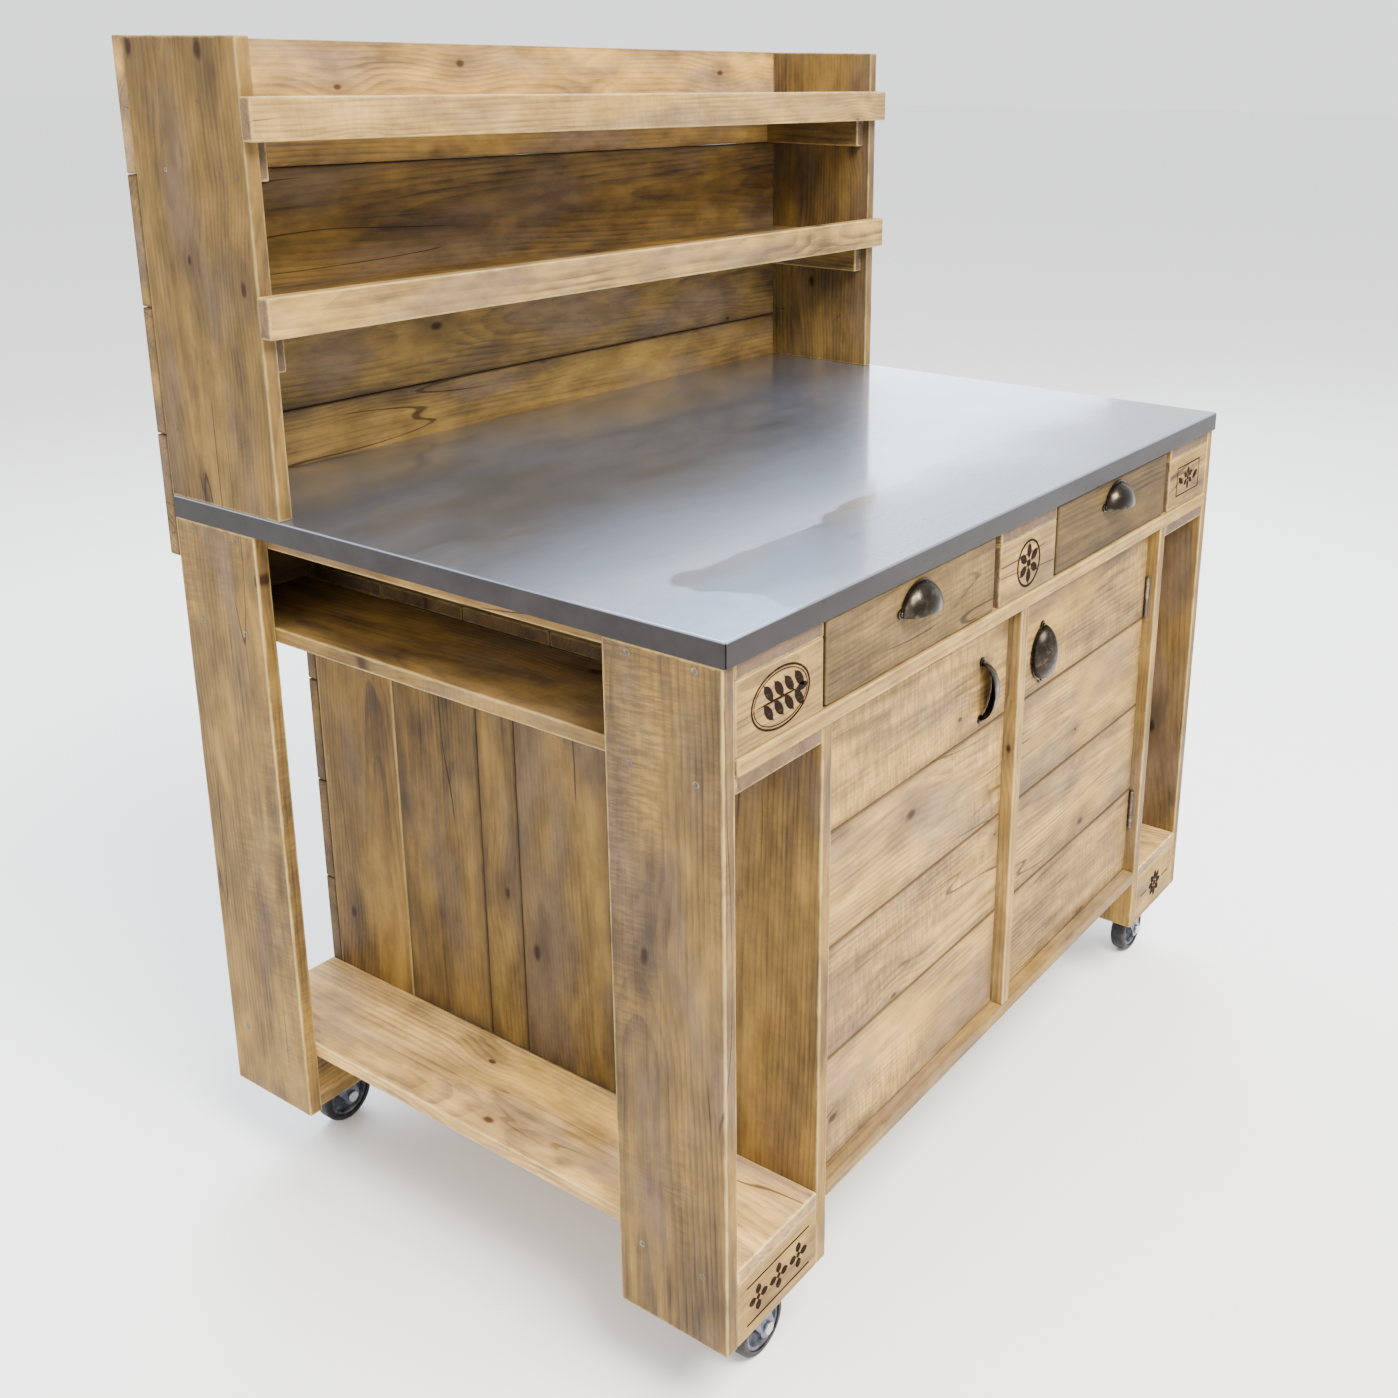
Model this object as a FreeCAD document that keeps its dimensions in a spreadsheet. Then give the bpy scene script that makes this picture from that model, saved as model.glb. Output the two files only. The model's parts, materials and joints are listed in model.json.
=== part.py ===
import FreeCAD, Part
import Sketcher
import os
import re

# A potting bench on four swivel casters: a worktop covered in sheet metal, a cupboard with two
# hinged doors under two drawers, an open bay at each end, and a two-shelf hutch at the back.
# Millimetres. X runs to the right, Y to the back and Z up. The origin is on the floor, under the
# middle of the whole object.

SIZES = {
    # the bench as a whole
    "bench_width": (1196, "worktop from left edge to right edge"),
    "top_depth": (815, "worktop from front edge to back edge"),
    "work_height": (900, "floor to the top of the worktop"),
    "hutch_height": (510, "worktop to the top of the hutch"),
    # timber
    "board": (18, "thickness of every board"),
    "leg_width": (145, "width of a leg board"),
    "batten_width": (45, "width of cleats, door battens and inner drawer guides"),
    "plank_gap": (1, "open joint between two planks"),
    # worktop
    "sheet_edge": (26, "height of the sheet's folded edge"),
    "sheet_thick": (1.2, "thickness of the metal sheet"),
    # front
    "leg_setback": (4, "leg edges and blocks behind the worktop's front edge"),
    "rail_proud": (3, "front rail in front of the leg edges"),
    "rail_depth": (95, "front rail from front to back"),
    "bay_width": (142, "clear width of an end bay"),
    "block_height": (77, "height of the blocks under the worktop"),
    "centre_block": (144, "width of the centre block and its bearer"),
    "bottom_top": (205, "floor to the top of the bottom shelves"),
    "narrow_share": (0.125, "share of a cupboard side taken by its narrow plank"),
    # hutch
    "hutch_depth": (195, "depth of a hutch side"),
    "back_overlap": (75, "hutch back below the worktop's surface"),
    "upper_shelf": (427, "worktop to the top of the upper shelf"),
    "lower_shelf": (224, "worktop to the top of the lower shelf"),
    "lip_height": (45, "height of a shelf lip"),
    "lip_rise": (24, "lip above its shelf"),
    "lip_overhang": (2, "lip past the outside of each hutch side"),
    "cleat_setback": (12, "shelf cleat behind the hutch side's front edge"),
    # drawers
    "drawer_gap_left": (5, "gap at the left of a drawer front"),
    "drawer_gap_right": (15, "gap at the right of a drawer front"),
    "drawer_gap_top": (3, "gap above a drawer front"),
    "drawer_gap_under": (2, "gap under a drawer"),
    "drawer_length": (450, "drawer box behind its front"),
    "box_wall": (12, "drawer box walls"),
    "box_bottom": (6, "drawer box bottom"),
    "box_height": (70, "drawer box walls from top to bottom"),
    "guide_gap": (2, "running gap between a drawer box and its guide"),
    "guide_setback": (4, "gap between a drawer front and the end of its guides"),
    # doors
    "door_recess": (16, "door face behind the leg edges"),
    "door_gap": (3, "gap at each side of a door"),
    "door_gap_height": (2, "gap above and below a door"),
    "batten_inset": (30, "door batten from the door's edge"),
    "batten_short": (25, "door batten short of the door at each end"),
    # butt hinges
    "pivot_inset": (4, "hinge axis from the cupboard side's face"),
    "pivot_stand": (3.8, "hinge axis in front of the door's face"),
    "knuckle_radius": (3.5, "hinge knuckle"),
    "pin_radius": (1.5, "hinge pin"),
    "pin_clearance": (0.05, "door knuckle's bore over the pin, on the radius"),
    "pin_over": (1.5, "pin past each end of its hinge"),
    "hinge_height": (60, "length of a hinge"),
    "hinge_inset": (75, "hinge from the door's end"),
    "leaf_thick": (1.2, "hinge leaf"),
    "leaf_depth": (16, "width of a hinge leaf"),
    "knuckle_gap": (0.2, "gap between two knuckles"),
    # magnetic catches
    "catch_width": (14, "catch from side to side"),
    "catch_depth": (20, "catch from front to back"),
    "catch_height": (40, "catch from top to bottom"),
    "catch_drop": (30, "catch below the door's top"),
    "catch_gap": (0.5, "gap between a catch and its closed strike plate"),
    "strike_thick": (1.5, "strike plate"),
    "strike_width": (20, "strike plate from side to side"),
    "strike_inset": (1, "strike plate from the door's free edge"),
    # cup pulls
    "pull_width": (86, "cup pull from end to end"),
    "pull_height": (34, "cup pull from its open edge to its top"),
    "pull_reach": (22, "how far a cup pull stands out"),
    "pull_wall": (1.8, "wall of a cup pull"),
    "pull_drop": (40, "worktop's underside to the open edge of a drawer pull"),
    "pull_inset": (38, "door's free edge to the back of its pull"),
    "pull_below": (85, "door's top to the middle of its pull"),
    # casters
    "caster_height": (108, "floor to the underside of the legs"),
    "wheel_diameter": (75, "caster wheel"),
    "caster_inset": (56, "kingpin from the worktop's front or back edge"),
    "trail": (27, "axle behind the kingpin"),
    "pad_depth": (120, "caster pad from front to back"),
    "plate_length": (80, "caster plate along X"),
    "plate_width": (60, "caster plate along Y"),
    "plate_thick": (2.5, "caster plate"),
    "race_radius": (21, "swivel race"),
    "race_height": (8.5, "swivel race under the plate"),
    "swivel_gap": (0.5, "gap between the race and the fork, and above the nut"),
    "kingpin_radius": (5, "kingpin"),
    "kingpin_clearance": (0.06, "fork's hole over the kingpin, on the radius"),
    "nut_radius": (8, "kingpin's nut"),
    "nut_height": (5.5, "kingpin's nut"),
    "crown_thick": (3.5, "fork crown"),
    "crown_half": (22, "half the crown's length"),
    "fork_wall": (2.5, "fork side plate"),
    "fork_gap": (30, "clear width between the fork's sides"),
    "fork_boss": (12, "radius of a fork side's lower end"),
    "axle_radius": (4, "wheel axle"),
    "axle_clearance": (0.06, "hub's bore over the axle, on the radius"),
    "axle_head": (3.5, "thickness of the axle's head and nut"),
    "axle_head_radius": (7, "axle's head and nut"),
    "hub_width": (27, "wheel hub along the axle"),
    "hub_radius": (10, "wheel hub"),
    "web_thick": (7, "web of the wheel"),
    "rim_width": (20, "rim of the wheel"),
    "rim_thick": (5, "rim of the wheel"),
    "tyre_thick": (8, "tyre from rim to tread"),
    "tyre_width": (24, "tyre"),
    "tread_bevel": (3, "bevel at each side of the tread"),
    # screws
    "screw_head": (4, "radius of a countersunk head"),
    "screw_radius": (2, "radius of a screw's shank"),
    "screw_head_depth": (3, "depth of a countersunk head"),
    "screw_length": (45, "screw, head included"),
    "screw_inset": (32, "screws from a leg's edge"),
}

# Places that several pieces share, as formulas on the sizes.
PLACES = {
    "half_width": "bench_width / 2",
    "leg_inner": "half_width - board",
    "bay_inner": "leg_inner - bay_width",
    "cupboard_inner": "bay_inner - board",
    "front": "-(top_depth + board + leg_setback - pull_reach) / 2",
    "back": "front + top_depth",
    "leg_front": "front + leg_setback",
    "carcase_back": "back - board",
    "hutch_front": "back - hutch_depth",
    "top_under": "work_height - sheet_edge",
    "bearer_under": "top_under - board",
    "rail_top": "bearer_under - block_height",
    "rail_under": "rail_top - board",
    "side_shelf_under": "rail_under - board",
    "bottom_under": "bottom_top - board",
    "hutch_top": "work_height + hutch_height",
    "stile_half": "board / 2",
    "opening_near": "centre_block / 2",
    "door_near": "stile_half + door_gap",
    "door_far": "cupboard_inner - door_gap",
    "door_low": "bottom_top + door_gap_height",
    "door_high": "rail_under - door_gap_height",
    "door_face": "leg_front + door_recess",
    "door_back": "door_face + board",
    "pivot_x": "cupboard_inner - pivot_inset",
    "pivot_y": "door_face - pivot_stand",
    "front_back": "leg_front + board",
    "guide_front": "front_back + guide_setback",
    "drawer_low": "rail_top + drawer_gap_under",
    "wall_low": "drawer_low + box_bottom",
    "box_inset": "board + guide_gap",
    "kingpin_x": "leg_inner - bay_width / 2",
    "plate_under": "caster_height - plate_thick",
    "race_under": "plate_under - race_height",
    "crown_top": "race_under - swivel_gap",
    "crown_under": "crown_top - crown_thick",
    "wheel_radius": "wheel_diameter / 2",
    "rim_radius": "wheel_radius - tyre_thick",
}

doc = FreeCAD.newDocument("potting_bench")
sheet = doc.addObject("Spreadsheet::Sheet", "sizes")
for row, (alias, (value, meaning)) in enumerate(SIZES.items(), start=1):
    sheet.set(f"A{row}", meaning)
    sheet.set(f"B{row}", str(value))
    sheet.setAlias(f"B{row}", alias)
doc.recompute()

nodes = []


def formula(text):
    """The text with each place written out and each size read from the sheet."""
    names = r"[a-z][a-z_]*"
    wider = re.sub(names, lambda word: f"({PLACES[word[0]]})" if word[0] in PLACES else word[0], text)
    if wider != text:
        return formula(wider)
    return re.sub(names, lambda word: f"sizes.{word[0]}" if word[0] in SIZES else word[0], text)


def bind(item, **formulas):
    """Binds properties of an object to formulas. x, y and z are the object's place."""
    paths = {axis: "Placement.Base." + axis for axis in "xyz"}
    for name, text in formulas.items():
        item.setExpression(paths.get(name, name), formula(text))
    return item


def add(kind, name, **formulas):
    """A new object of the document, bound to its formulas."""
    return bind(doc.addObject(kind, name), **formulas)


def board(name, x_span, y_span, z_span):
    """A board that fills a low and a high limit along each axis."""
    item = doc.addObject("Part::Box", name)
    sides = zip(("Length", "Width", "Height"), "xyz", (x_span, y_span, z_span))
    for side, axis, (low, high) in sides:
        bind(item, **{side: f"({high}) - ({low})", axis: low})
    return item


def planks(name, count, along, **spans):
    """Boards of one width side by side, which share the span along one axis."""
    low, high = spans[along]
    width = f"(({high}) - ({low}) - {count - 1} * plank_gap) / {count}"
    row_of_boards = []
    for number in range(count):
        start = f"{low} + {number} * ({width} + plank_gap)"
        spans[along] = (start, f"{start} + {width}")
        row_of_boards.append(board(f"{name}_{number + 1}", spans["x"], spans["y"], spans["z"]))
    return row_of_boards


def sided(side, near, far):
    """The X limits of a piece between two distances from the middle, on side -1 or 1."""
    return (near, far) if side > 0 else (f"-({far})", f"-({near})")


def node(label, *pieces):
    """One sub-part: a single piece, or a group of separate solids."""
    if len(pieces) == 1:
        item = pieces[0]
    else:
        item = doc.addObject("Part::Compound", label + "_group")
        item.Links = list(pieces)
    item.Label = label
    nodes.append(item)
    return item


def fuse(name, *pieces):
    item = doc.addObject("Part::MultiFuse", name)
    item.Shapes = list(pieces)
    return item


def cut(name, base, tool):
    item = doc.addObject("Part::Cut", name)
    item.Base = base
    item.Tool = tool
    return item


def cylinder(name, radius, x, y, low, high):
    """An upright cylinder."""
    return add("Part::Cylinder", name, Radius=radius, Height=f"({high}) - ({low})", x=x, y=y, z=low)


def origin_plane(body, role):
    return next(item for item in body.Origin.OriginFeatures if item.Role == role)


def outline(body, name, plane, points, offset="0"):
    """A closed sketch through points given as formulas, on one of the body's own planes."""
    sketch = body.newObject("Sketcher::SketchObject", name)
    sketch.AttachmentSupport = [(origin_plane(body, plane), "")]
    sketch.MapMode = "FlatFace"
    sketch.setExpression("AttachmentOffset.Base.z", formula(offset))
    corners = [FreeCAD.Vector(*(value_of(text) for text in point), 0) for point in points]
    for number, corner in enumerate(corners):
        sketch.addGeometry(Part.LineSegment(corners[number - 1], corner), False)
    for number, point in enumerate(points):
        following = (number + 1) % len(points)
        sketch.addConstraint(Sketcher.Constraint("Coincident", number, 2, following, 1))
        for kind, text in zip(("DistanceX", "DistanceY"), point):
            index = sketch.addConstraint(Sketcher.Constraint(kind, -1, 1, number, 2, value_of(text)))
            sketch.setExpression(f"Constraints[{index}]", formula(text))
    return sketch


def round_outline(body, name, plane, radius, centre=("0", "0"), offset="0"):
    """A sketch of one circle."""
    sketch = body.newObject("Sketcher::SketchObject", name)
    sketch.AttachmentSupport = [(origin_plane(body, plane), "")]
    sketch.MapMode = "FlatFace"
    sketch.setExpression("AttachmentOffset.Base.z", formula(offset))
    middle = FreeCAD.Vector(value_of(centre[0]), value_of(centre[1]), 0)
    sketch.addGeometry(Part.Circle(middle, FreeCAD.Vector(0, 0, 1), value_of(radius)), False)
    index = sketch.addConstraint(Sketcher.Constraint("Radius", 0, value_of(radius)))
    sketch.setExpression(f"Constraints[{index}]", formula(radius))
    for kind, text in zip(("DistanceX", "DistanceY"), centre):
        index = sketch.addConstraint(Sketcher.Constraint(kind, -1, 1, 0, 3, value_of(text)))
        sketch.setExpression(f"Constraints[{index}]", formula(text))
    return sketch


def value_of(text):
    """The value of a formula, in millimetres."""
    return float(sheet.evalExpression(formula(text)))


def pad(body, name, sketch, length, kind="PartDesign::Pad"):
    """Adds or cuts a sketch's thickness, to a length along the sketch's normal or against it."""
    feature = body.newObject(kind, name)
    feature.Profile = sketch
    feature.setExpression("Length", formula(length))
    return feature


def turned(label, points, x, y, z):
    """A body turned about an axis along Y, from points of radius and distance along the axis."""
    body = doc.addObject("PartDesign::Body", label + "_body")
    sketch = outline(body, label + "_profile", "XY_Plane", points)
    turn = body.newObject("PartDesign::Revolution", label + "_turn")
    turn.Profile = sketch
    turn.ReferenceAxis = (sketch, ["V_Axis"])
    turn.Angle = 360
    return node(label, bind(body, x=x, y=y, z=z))


# --- carcase ---------------------------------------------------------------------------------

SIDES = {"left": -1, "right": 1}


def carcase():
    """The legs, the cupboard's shell and everything that ties them together."""
    front_legs = ("leg_front", "leg_front + leg_width")
    back_legs = ("back - leg_width", "back")
    inner_back = ("carcase_back - leg_width", "carcase_back")
    leg_height = ("caster_height", "top_under")
    inner_height = ("caster_height", "rail_under")
    legs = {"front": [], "back": []}
    inner_legs = []
    side_planks = []
    bottom_shelves = []
    side_shelves = []
    base_blocks = []
    caster_pads = []
    middle = ("leg_front + leg_width", "carcase_back - leg_width")
    span = f"(({middle[1]}) - ({middle[0]}) - 5 * plank_gap)"
    full = f"({span} * (1 - narrow_share) / 3)"
    narrow = f"({span} * narrow_share)"
    for word, side in SIDES.items():
        outer = sided(side, "leg_inner", "half_width")
        bay = sided(side, "bay_inner", "leg_inner")
        wall = sided(side, "cupboard_inner", "bay_inner")
        legs["front"].append(board(f"leg_front_{word}", outer, front_legs, leg_height))
        legs["back"].append(board(f"leg_back_{word}", outer, back_legs, leg_height))
        inner_legs.append(board(f"inner_front_{word}", wall, front_legs, inner_height))
        inner_legs.append(board(f"inner_back_{word}", wall, inner_back, inner_height))
        start = f"{middle[0]} + plank_gap"
        for number, width in enumerate((full, full, narrow, full), start=1):
            end = f"{start} + {width}"
            height = ("bottom_top", "rail_under")
            side_planks.append(board(f"side_{word}_{number}", wall, (start, end), height))
            start = f"{end} + plank_gap"
        bottom_shelves.append(
            board(f"bottom_shelf_{word}", bay, ("leg_front", "back"), ("bottom_under", "bottom_top"))
        )
        side_shelves.append(
            board(f"side_shelf_{word}", bay, ("leg_front", "back"), ("side_shelf_under", "rail_under"))
        )
        under = ("caster_height", "bottom_under")
        base_blocks.append(board(f"base_front_{word}", bay, ("leg_front", "front_back"), under))
        base_blocks.append(board(f"base_back_{word}", bay, ("carcase_back", "back"), under))
        flat = ("caster_height", "caster_height + board")
        upright = ("caster_height + board", "bottom_under")
        pad_end = "front_back + pad_depth"
        back_end = "carcase_back - pad_depth"
        caster_pads.append(board(f"pad_front_{word}", bay, ("front_back", pad_end), flat))
        caster_pads.append(board(f"rib_front_{word}", bay, (f"{pad_end} - board", pad_end), upright))
        caster_pads.append(board(f"pad_back_{word}", bay, (back_end, "carcase_back"), flat))
        caster_pads.append(board(f"rib_back_{word}", bay, (back_end, f"{back_end} + board"), upright))
    node("legs_front", *legs["front"])
    node("legs_back", *legs["back"])
    node("inner_legs", *inner_legs)
    node("cabinet_sides", *side_planks)
    node("bottom_shelves", *bottom_shelves)
    node("side_shelves", *side_shelves)
    node("base_blocks", *base_blocks)
    node("caster_pads", *caster_pads)

    bottom = ("bottom_under", "bottom_top")
    between = ("-cupboard_inner", "cupboard_inner")
    across = ("-bay_inner", "bay_inner")
    floor_run = (f"{middle[0]} + plank_gap", f"{middle[1]} - plank_gap")
    floor_boards = [board("floor_front", between, front_legs, bottom)]
    floor_boards += planks("floor", 4, "y", x=across, y=floor_run, z=bottom)
    floor_boards.append(board("floor_back", between, inner_back, bottom))
    node("cabinet_floor", *floor_boards)
    back_span = ("carcase_back", "back")
    node("cabinet_back", *planks("back", 4, "z", x=across, y=back_span, z=("bottom_under", "rail_under")))
    clear = ("-leg_inner", "leg_inner")
    node("back_apron", board("back_apron_board", clear, back_span, ("rail_under", "top_under")))
    stile = ("-stile_half", "stile_half")
    node("centre_stile", board("stile_board", stile, front_legs, ("bottom_top", "rail_under")))
    rail_back = "leg_front - rail_proud + rail_depth"
    rail = ("rail_under", "rail_top")
    node("front_rail", board("rail_board", clear, ("leg_front - rail_proud", rail_back), rail))
    deck = planks("deck", 5, "y", x=across, y=(rail_back, "carcase_back"), z=rail)
    node("drawer_deck", *deck)


def under_the_top():
    """Bearers, blocks and drawer guides between the front rail and the worktop."""
    bays = {
        "left": ("-leg_inner", "-bay_inner"),
        "centre": ("-opening_near", "opening_near"),
        "right": ("bay_inner", "leg_inner"),
    }
    bearers = []
    blocks = []
    for word, x_span in bays.items():
        bearer = (("leg_front", "carcase_back"), ("bearer_under", "top_under"))
        bearers.append(board(f"bearer_{word}", x_span, *bearer))
        blocks.append(
            board(f"apron_{word}", x_span, ("leg_front", "front_back"), ("rail_top", "bearer_under"))
        )
    node("top_bearers", *bearers)
    node("apron_blocks", *blocks)
    guides = []
    for word, side in SIDES.items():
        run = ("guide_front", "carcase_back")
        outer = sided(side, "cupboard_inner", "bay_inner")
        inner = sided(side, "opening_near", "opening_near + board")
        guides.append(board(f"guide_outer_{word}", outer, run, ("rail_top", "top_under")))
        guides.append(board(f"guide_inner_{word}", inner, run, ("rail_top", "rail_top + batten_width")))
    node("drawer_guides", *guides)


def worktop():
    """A timber top under a metal sheet whose four edges are folded down."""
    inside = (
        ("-half_width + sheet_thick", "half_width - sheet_thick"),
        ("front + sheet_thick", "back - sheet_thick"),
        ("top_under", "work_height - sheet_thick"),
    )
    node("worktop_board", board("top_board", *inside))
    outside = (("-half_width", "half_width"), ("front", "back"), ("top_under", "work_height"))
    folded = cut("folded_sheet", board("sheet_outside", *outside), board("sheet_inside", *inside))
    node("worktop_sheet", folded)


def hutch():
    """The two-shelf upstand that stands on the back of the worktop."""
    sides = []
    cleats = []
    y_span = ("hutch_front", "back")
    z_span = ("work_height", "hutch_top")
    shelves = {"upper": "work_height + upper_shelf", "lower": "work_height + lower_shelf"}
    for word, side in SIDES.items():
        sides.append(board(f"hutch_side_{word}", sided(side, "leg_inner", "half_width"), y_span, z_span))
        for level, top in shelves.items():
            cleat = sided(side, "leg_inner - board", "leg_inner")
            under = (f"{top} - board - batten_width", f"{top} - board")
            run = ("hutch_front + cleat_setback", "back")
            cleats.append(board(f"cleat_{level}_{word}", cleat, run, under))
    node("hutch_sides", *sides)
    node("hutch_cleats", *cleats)
    boards = []
    lips = []
    for level, top in shelves.items():
        boards.append(
            board(f"hutch_shelf_{level}", ("-leg_inner", "leg_inner"), y_span, (f"{top} - board", top))
        )
        reach = "half_width + lip_overhang"
        lip_top = f"{top} + lip_rise"
        lip_front = ("hutch_front - board", "hutch_front")
        lips.append(
            board(f"lip_{level}", (f"-({reach})", reach), lip_front, (f"{lip_top} - lip_height", lip_top))
        )
    node("hutch_shelves", *boards)
    node("hutch_lips", *lips)
    height = ("work_height - back_overlap", "hutch_top")
    across = ("-half_width", "half_width")
    node("hutch_back", *planks("hutch_back", 4, "z", x=across, y=("back", "back + board"), z=height))


# --- drawers and doors -----------------------------------------------------------------------


def cup_pull(label, x, y, z, turn=0):
    """A quarter of an egg-shaped shell, open along its straight edge. turn rolls it about Y."""
    outer = add(
        "Part::Ellipsoid", label + "_outer",
        Radius1="pull_height", Radius2="pull_width / 2", Radius3="pull_reach",
    )
    inner = add(
        "Part::Ellipsoid", label + "_inner",
        Radius1="pull_height - pull_wall",
        Radius2="pull_width / 2 - pull_wall",
        Radius3="pull_reach - pull_wall",
    )
    for egg in (outer, inner):
        egg.Angle1 = -90
        egg.Angle2 = 90
        egg.Angle3 = 360
    quarter = board(
        label + "_quarter",
        ("-pull_width", "pull_width"), ("-2 * pull_reach", "0"), ("0", "2 * pull_height"),
    )
    shell = doc.addObject("Part::Common", label + "_shell")
    shell.Base = cut(label + "_hollow", outer, inner)
    shell.Tool = quarter
    shell.Placement.Rotation = FreeCAD.Rotation(FreeCAD.Vector(0, 1, 0), turn)
    return node(label, bind(shell, x=x, y=y, z=z))


def drawer(word, low, high):
    """A drawer in the opening from low to high: front, box, bottom and pull."""
    label = "drawer_" + word
    left = f"{low} + drawer_gap_left"
    right = f"{high} - drawer_gap_right"
    front_height = ("drawer_low", "top_under - drawer_gap_top")
    face = board(label + "_face", (left, right), ("leg_front", "front_back"), front_height)
    node(label + "_front", face)
    box_low = f"{low} + box_inset"
    box_high = f"{high} - box_inset"
    box_end = "front_back + drawer_length"
    walls = ("wall_low", "wall_low + box_height")
    run = ("front_back", box_end)
    left_wall = board(label + "_wall_left", (box_low, f"{box_low} + box_wall"), run, walls)
    right_wall = board(label + "_wall_right", (f"{box_high} - box_wall", box_high), run, walls)
    inside = (f"{box_low} + box_wall", f"{box_high} - box_wall")
    end_wall = board(label + "_wall_back", inside, (f"{box_end} - box_wall", box_end), walls)
    node(label + "_box", left_wall, right_wall, end_wall)
    node(label + "_bottom", board(label + "_base", (box_low, box_high), run, ("drawer_low", "wall_low")))
    middle = f"(({left}) + ({right})) / 2"
    cup_pull(label + "_pull", middle, "leg_front", "top_under - pull_drop")


def butt_hinge(name, side, low, leaves):
    """One hinge: a frame leaf, a door leaf and a pin, added to the lists of their nodes."""
    axis_x = "pivot_x" if side > 0 else "-pivot_x"
    third = "hinge_height / 3"
    top = f"{low} + hinge_height"
    knuckle_spans = {
        "low": (low, f"{low} + {third} - knuckle_gap"),
        "mid": (f"{low} + {third}", f"{low} + 2 * {third}"),
        "top": (f"{low} + 2 * {third} + knuckle_gap", top),
    }
    leaf_spans = {
        "frame": (sided(side, "cupboard_inner - leaf_thick", "cupboard_inner"), ("low", "top")),
        "door": (sided(side, "door_far", "door_far + leaf_thick"), ("mid",)),
    }
    bores = {"frame": "pin_radius", "door": "pin_radius + pin_clearance"}
    for kind, (x_span, thirds) in leaf_spans.items():
        title = f"{name}_{kind}"
        pieces = [board(title + "_leaf", x_span, ("door_face", "door_face + leaf_depth"), (low, top))]
        for word in thirds:
            z_span = knuckle_spans[word]
            pieces.append(board(f"{title}_tab_{word}", x_span, ("pivot_y", "door_face"), z_span))
            pieces.append(
                cylinder(f"{title}_knuckle_{word}", "knuckle_radius", axis_x, "pivot_y", *z_span)
            )
        bore = cylinder(title + "_bore", bores[kind], axis_x, "pivot_y", low, top)
        leaves[kind].append(cut(title, fuse(title + "_solid", *pieces), bore))
    pin_span = (f"{low} - pin_over", f"{top} + pin_over")
    leaves["frame"].append(cylinder(name + "_pin", "pin_radius", axis_x, "pivot_y", *pin_span))


def door(word, side, frame_leaves, catches):
    """A plank door with two battens, its hinge leaves, its strike plate and its pull."""
    label = "door_" + word
    width = sided(side, "door_near", "door_far")
    thickness = ("door_face", "door_back")
    node(label + "_boards", *planks(label, 4, "z", x=width, y=thickness, z=("door_low", "door_high")))
    edges = {
        "near": ("door_near + batten_inset", "door_near + batten_inset + batten_width"),
        "far": ("door_far - batten_inset - batten_width", "door_far - batten_inset"),
    }
    height = ("door_low + batten_short", "door_high - batten_short")
    battens = []
    for name, (near, far) in edges.items():
        behind = ("door_back", "door_back + board")
        battens.append(board(f"{label}_batten_{name}", sided(side, near, far), behind, height))
    node(label + "_battens", *battens)
    leaves = {"frame": frame_leaves, "door": []}
    butt_hinge(label + "_hinge_low", side, "door_low + hinge_inset", leaves)
    butt_hinge(label + "_hinge_high", side, "door_high - hinge_inset - hinge_height", leaves)
    catch_high = "door_high - catch_drop"
    catch_z = (f"{catch_high} - catch_height", catch_high)
    strike_edge = "door_near + strike_inset"
    strike = board(
        label + "_strike", sided(side, strike_edge, f"{strike_edge} + strike_width"),
        ("door_back", "door_back + strike_thick"), catch_z,
    )
    node(label + "_fittings", *leaves["door"], strike)
    catch_front = "door_back + strike_thick + catch_gap"
    catches.append(
        board(
            label + "_catch", sided(side, "stile_half", "stile_half + catch_width"),
            (catch_front, f"{catch_front} + catch_depth"), catch_z,
        )
    )
    reach = "door_near + pull_inset + pull_height"
    pull_x = reach if side > 0 else f"-({reach})"
    turn = -90 if side > 0 else 90
    cup_pull(label + "_pull", pull_x, "door_face", "door_high - pull_below", turn)


# --- casters ---------------------------------------------------------------------------------


def caster_plate(name, x, y):
    """The fixed half of a caster: plate, swivel race, kingpin and nut."""
    plate = board(
        name + "_plate",
        (f"{x} - plate_length / 2", f"{x} + plate_length / 2"),
        (f"{y} - plate_width / 2", f"{y} + plate_width / 2"),
        ("plate_under", "caster_height"),
    )
    race = cylinder(name + "_race", "race_radius", x, y, "race_under", "plate_under")
    nut_top = "crown_under - swivel_gap"
    kingpin = cylinder(name + "_kingpin", "kingpin_radius", x, y, nut_top, "race_under")
    nut = cylinder(name + "_nut", "nut_radius", x, y, f"{nut_top} - nut_height", nut_top)
    return fuse(name, plate, race, kingpin, nut)


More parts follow.
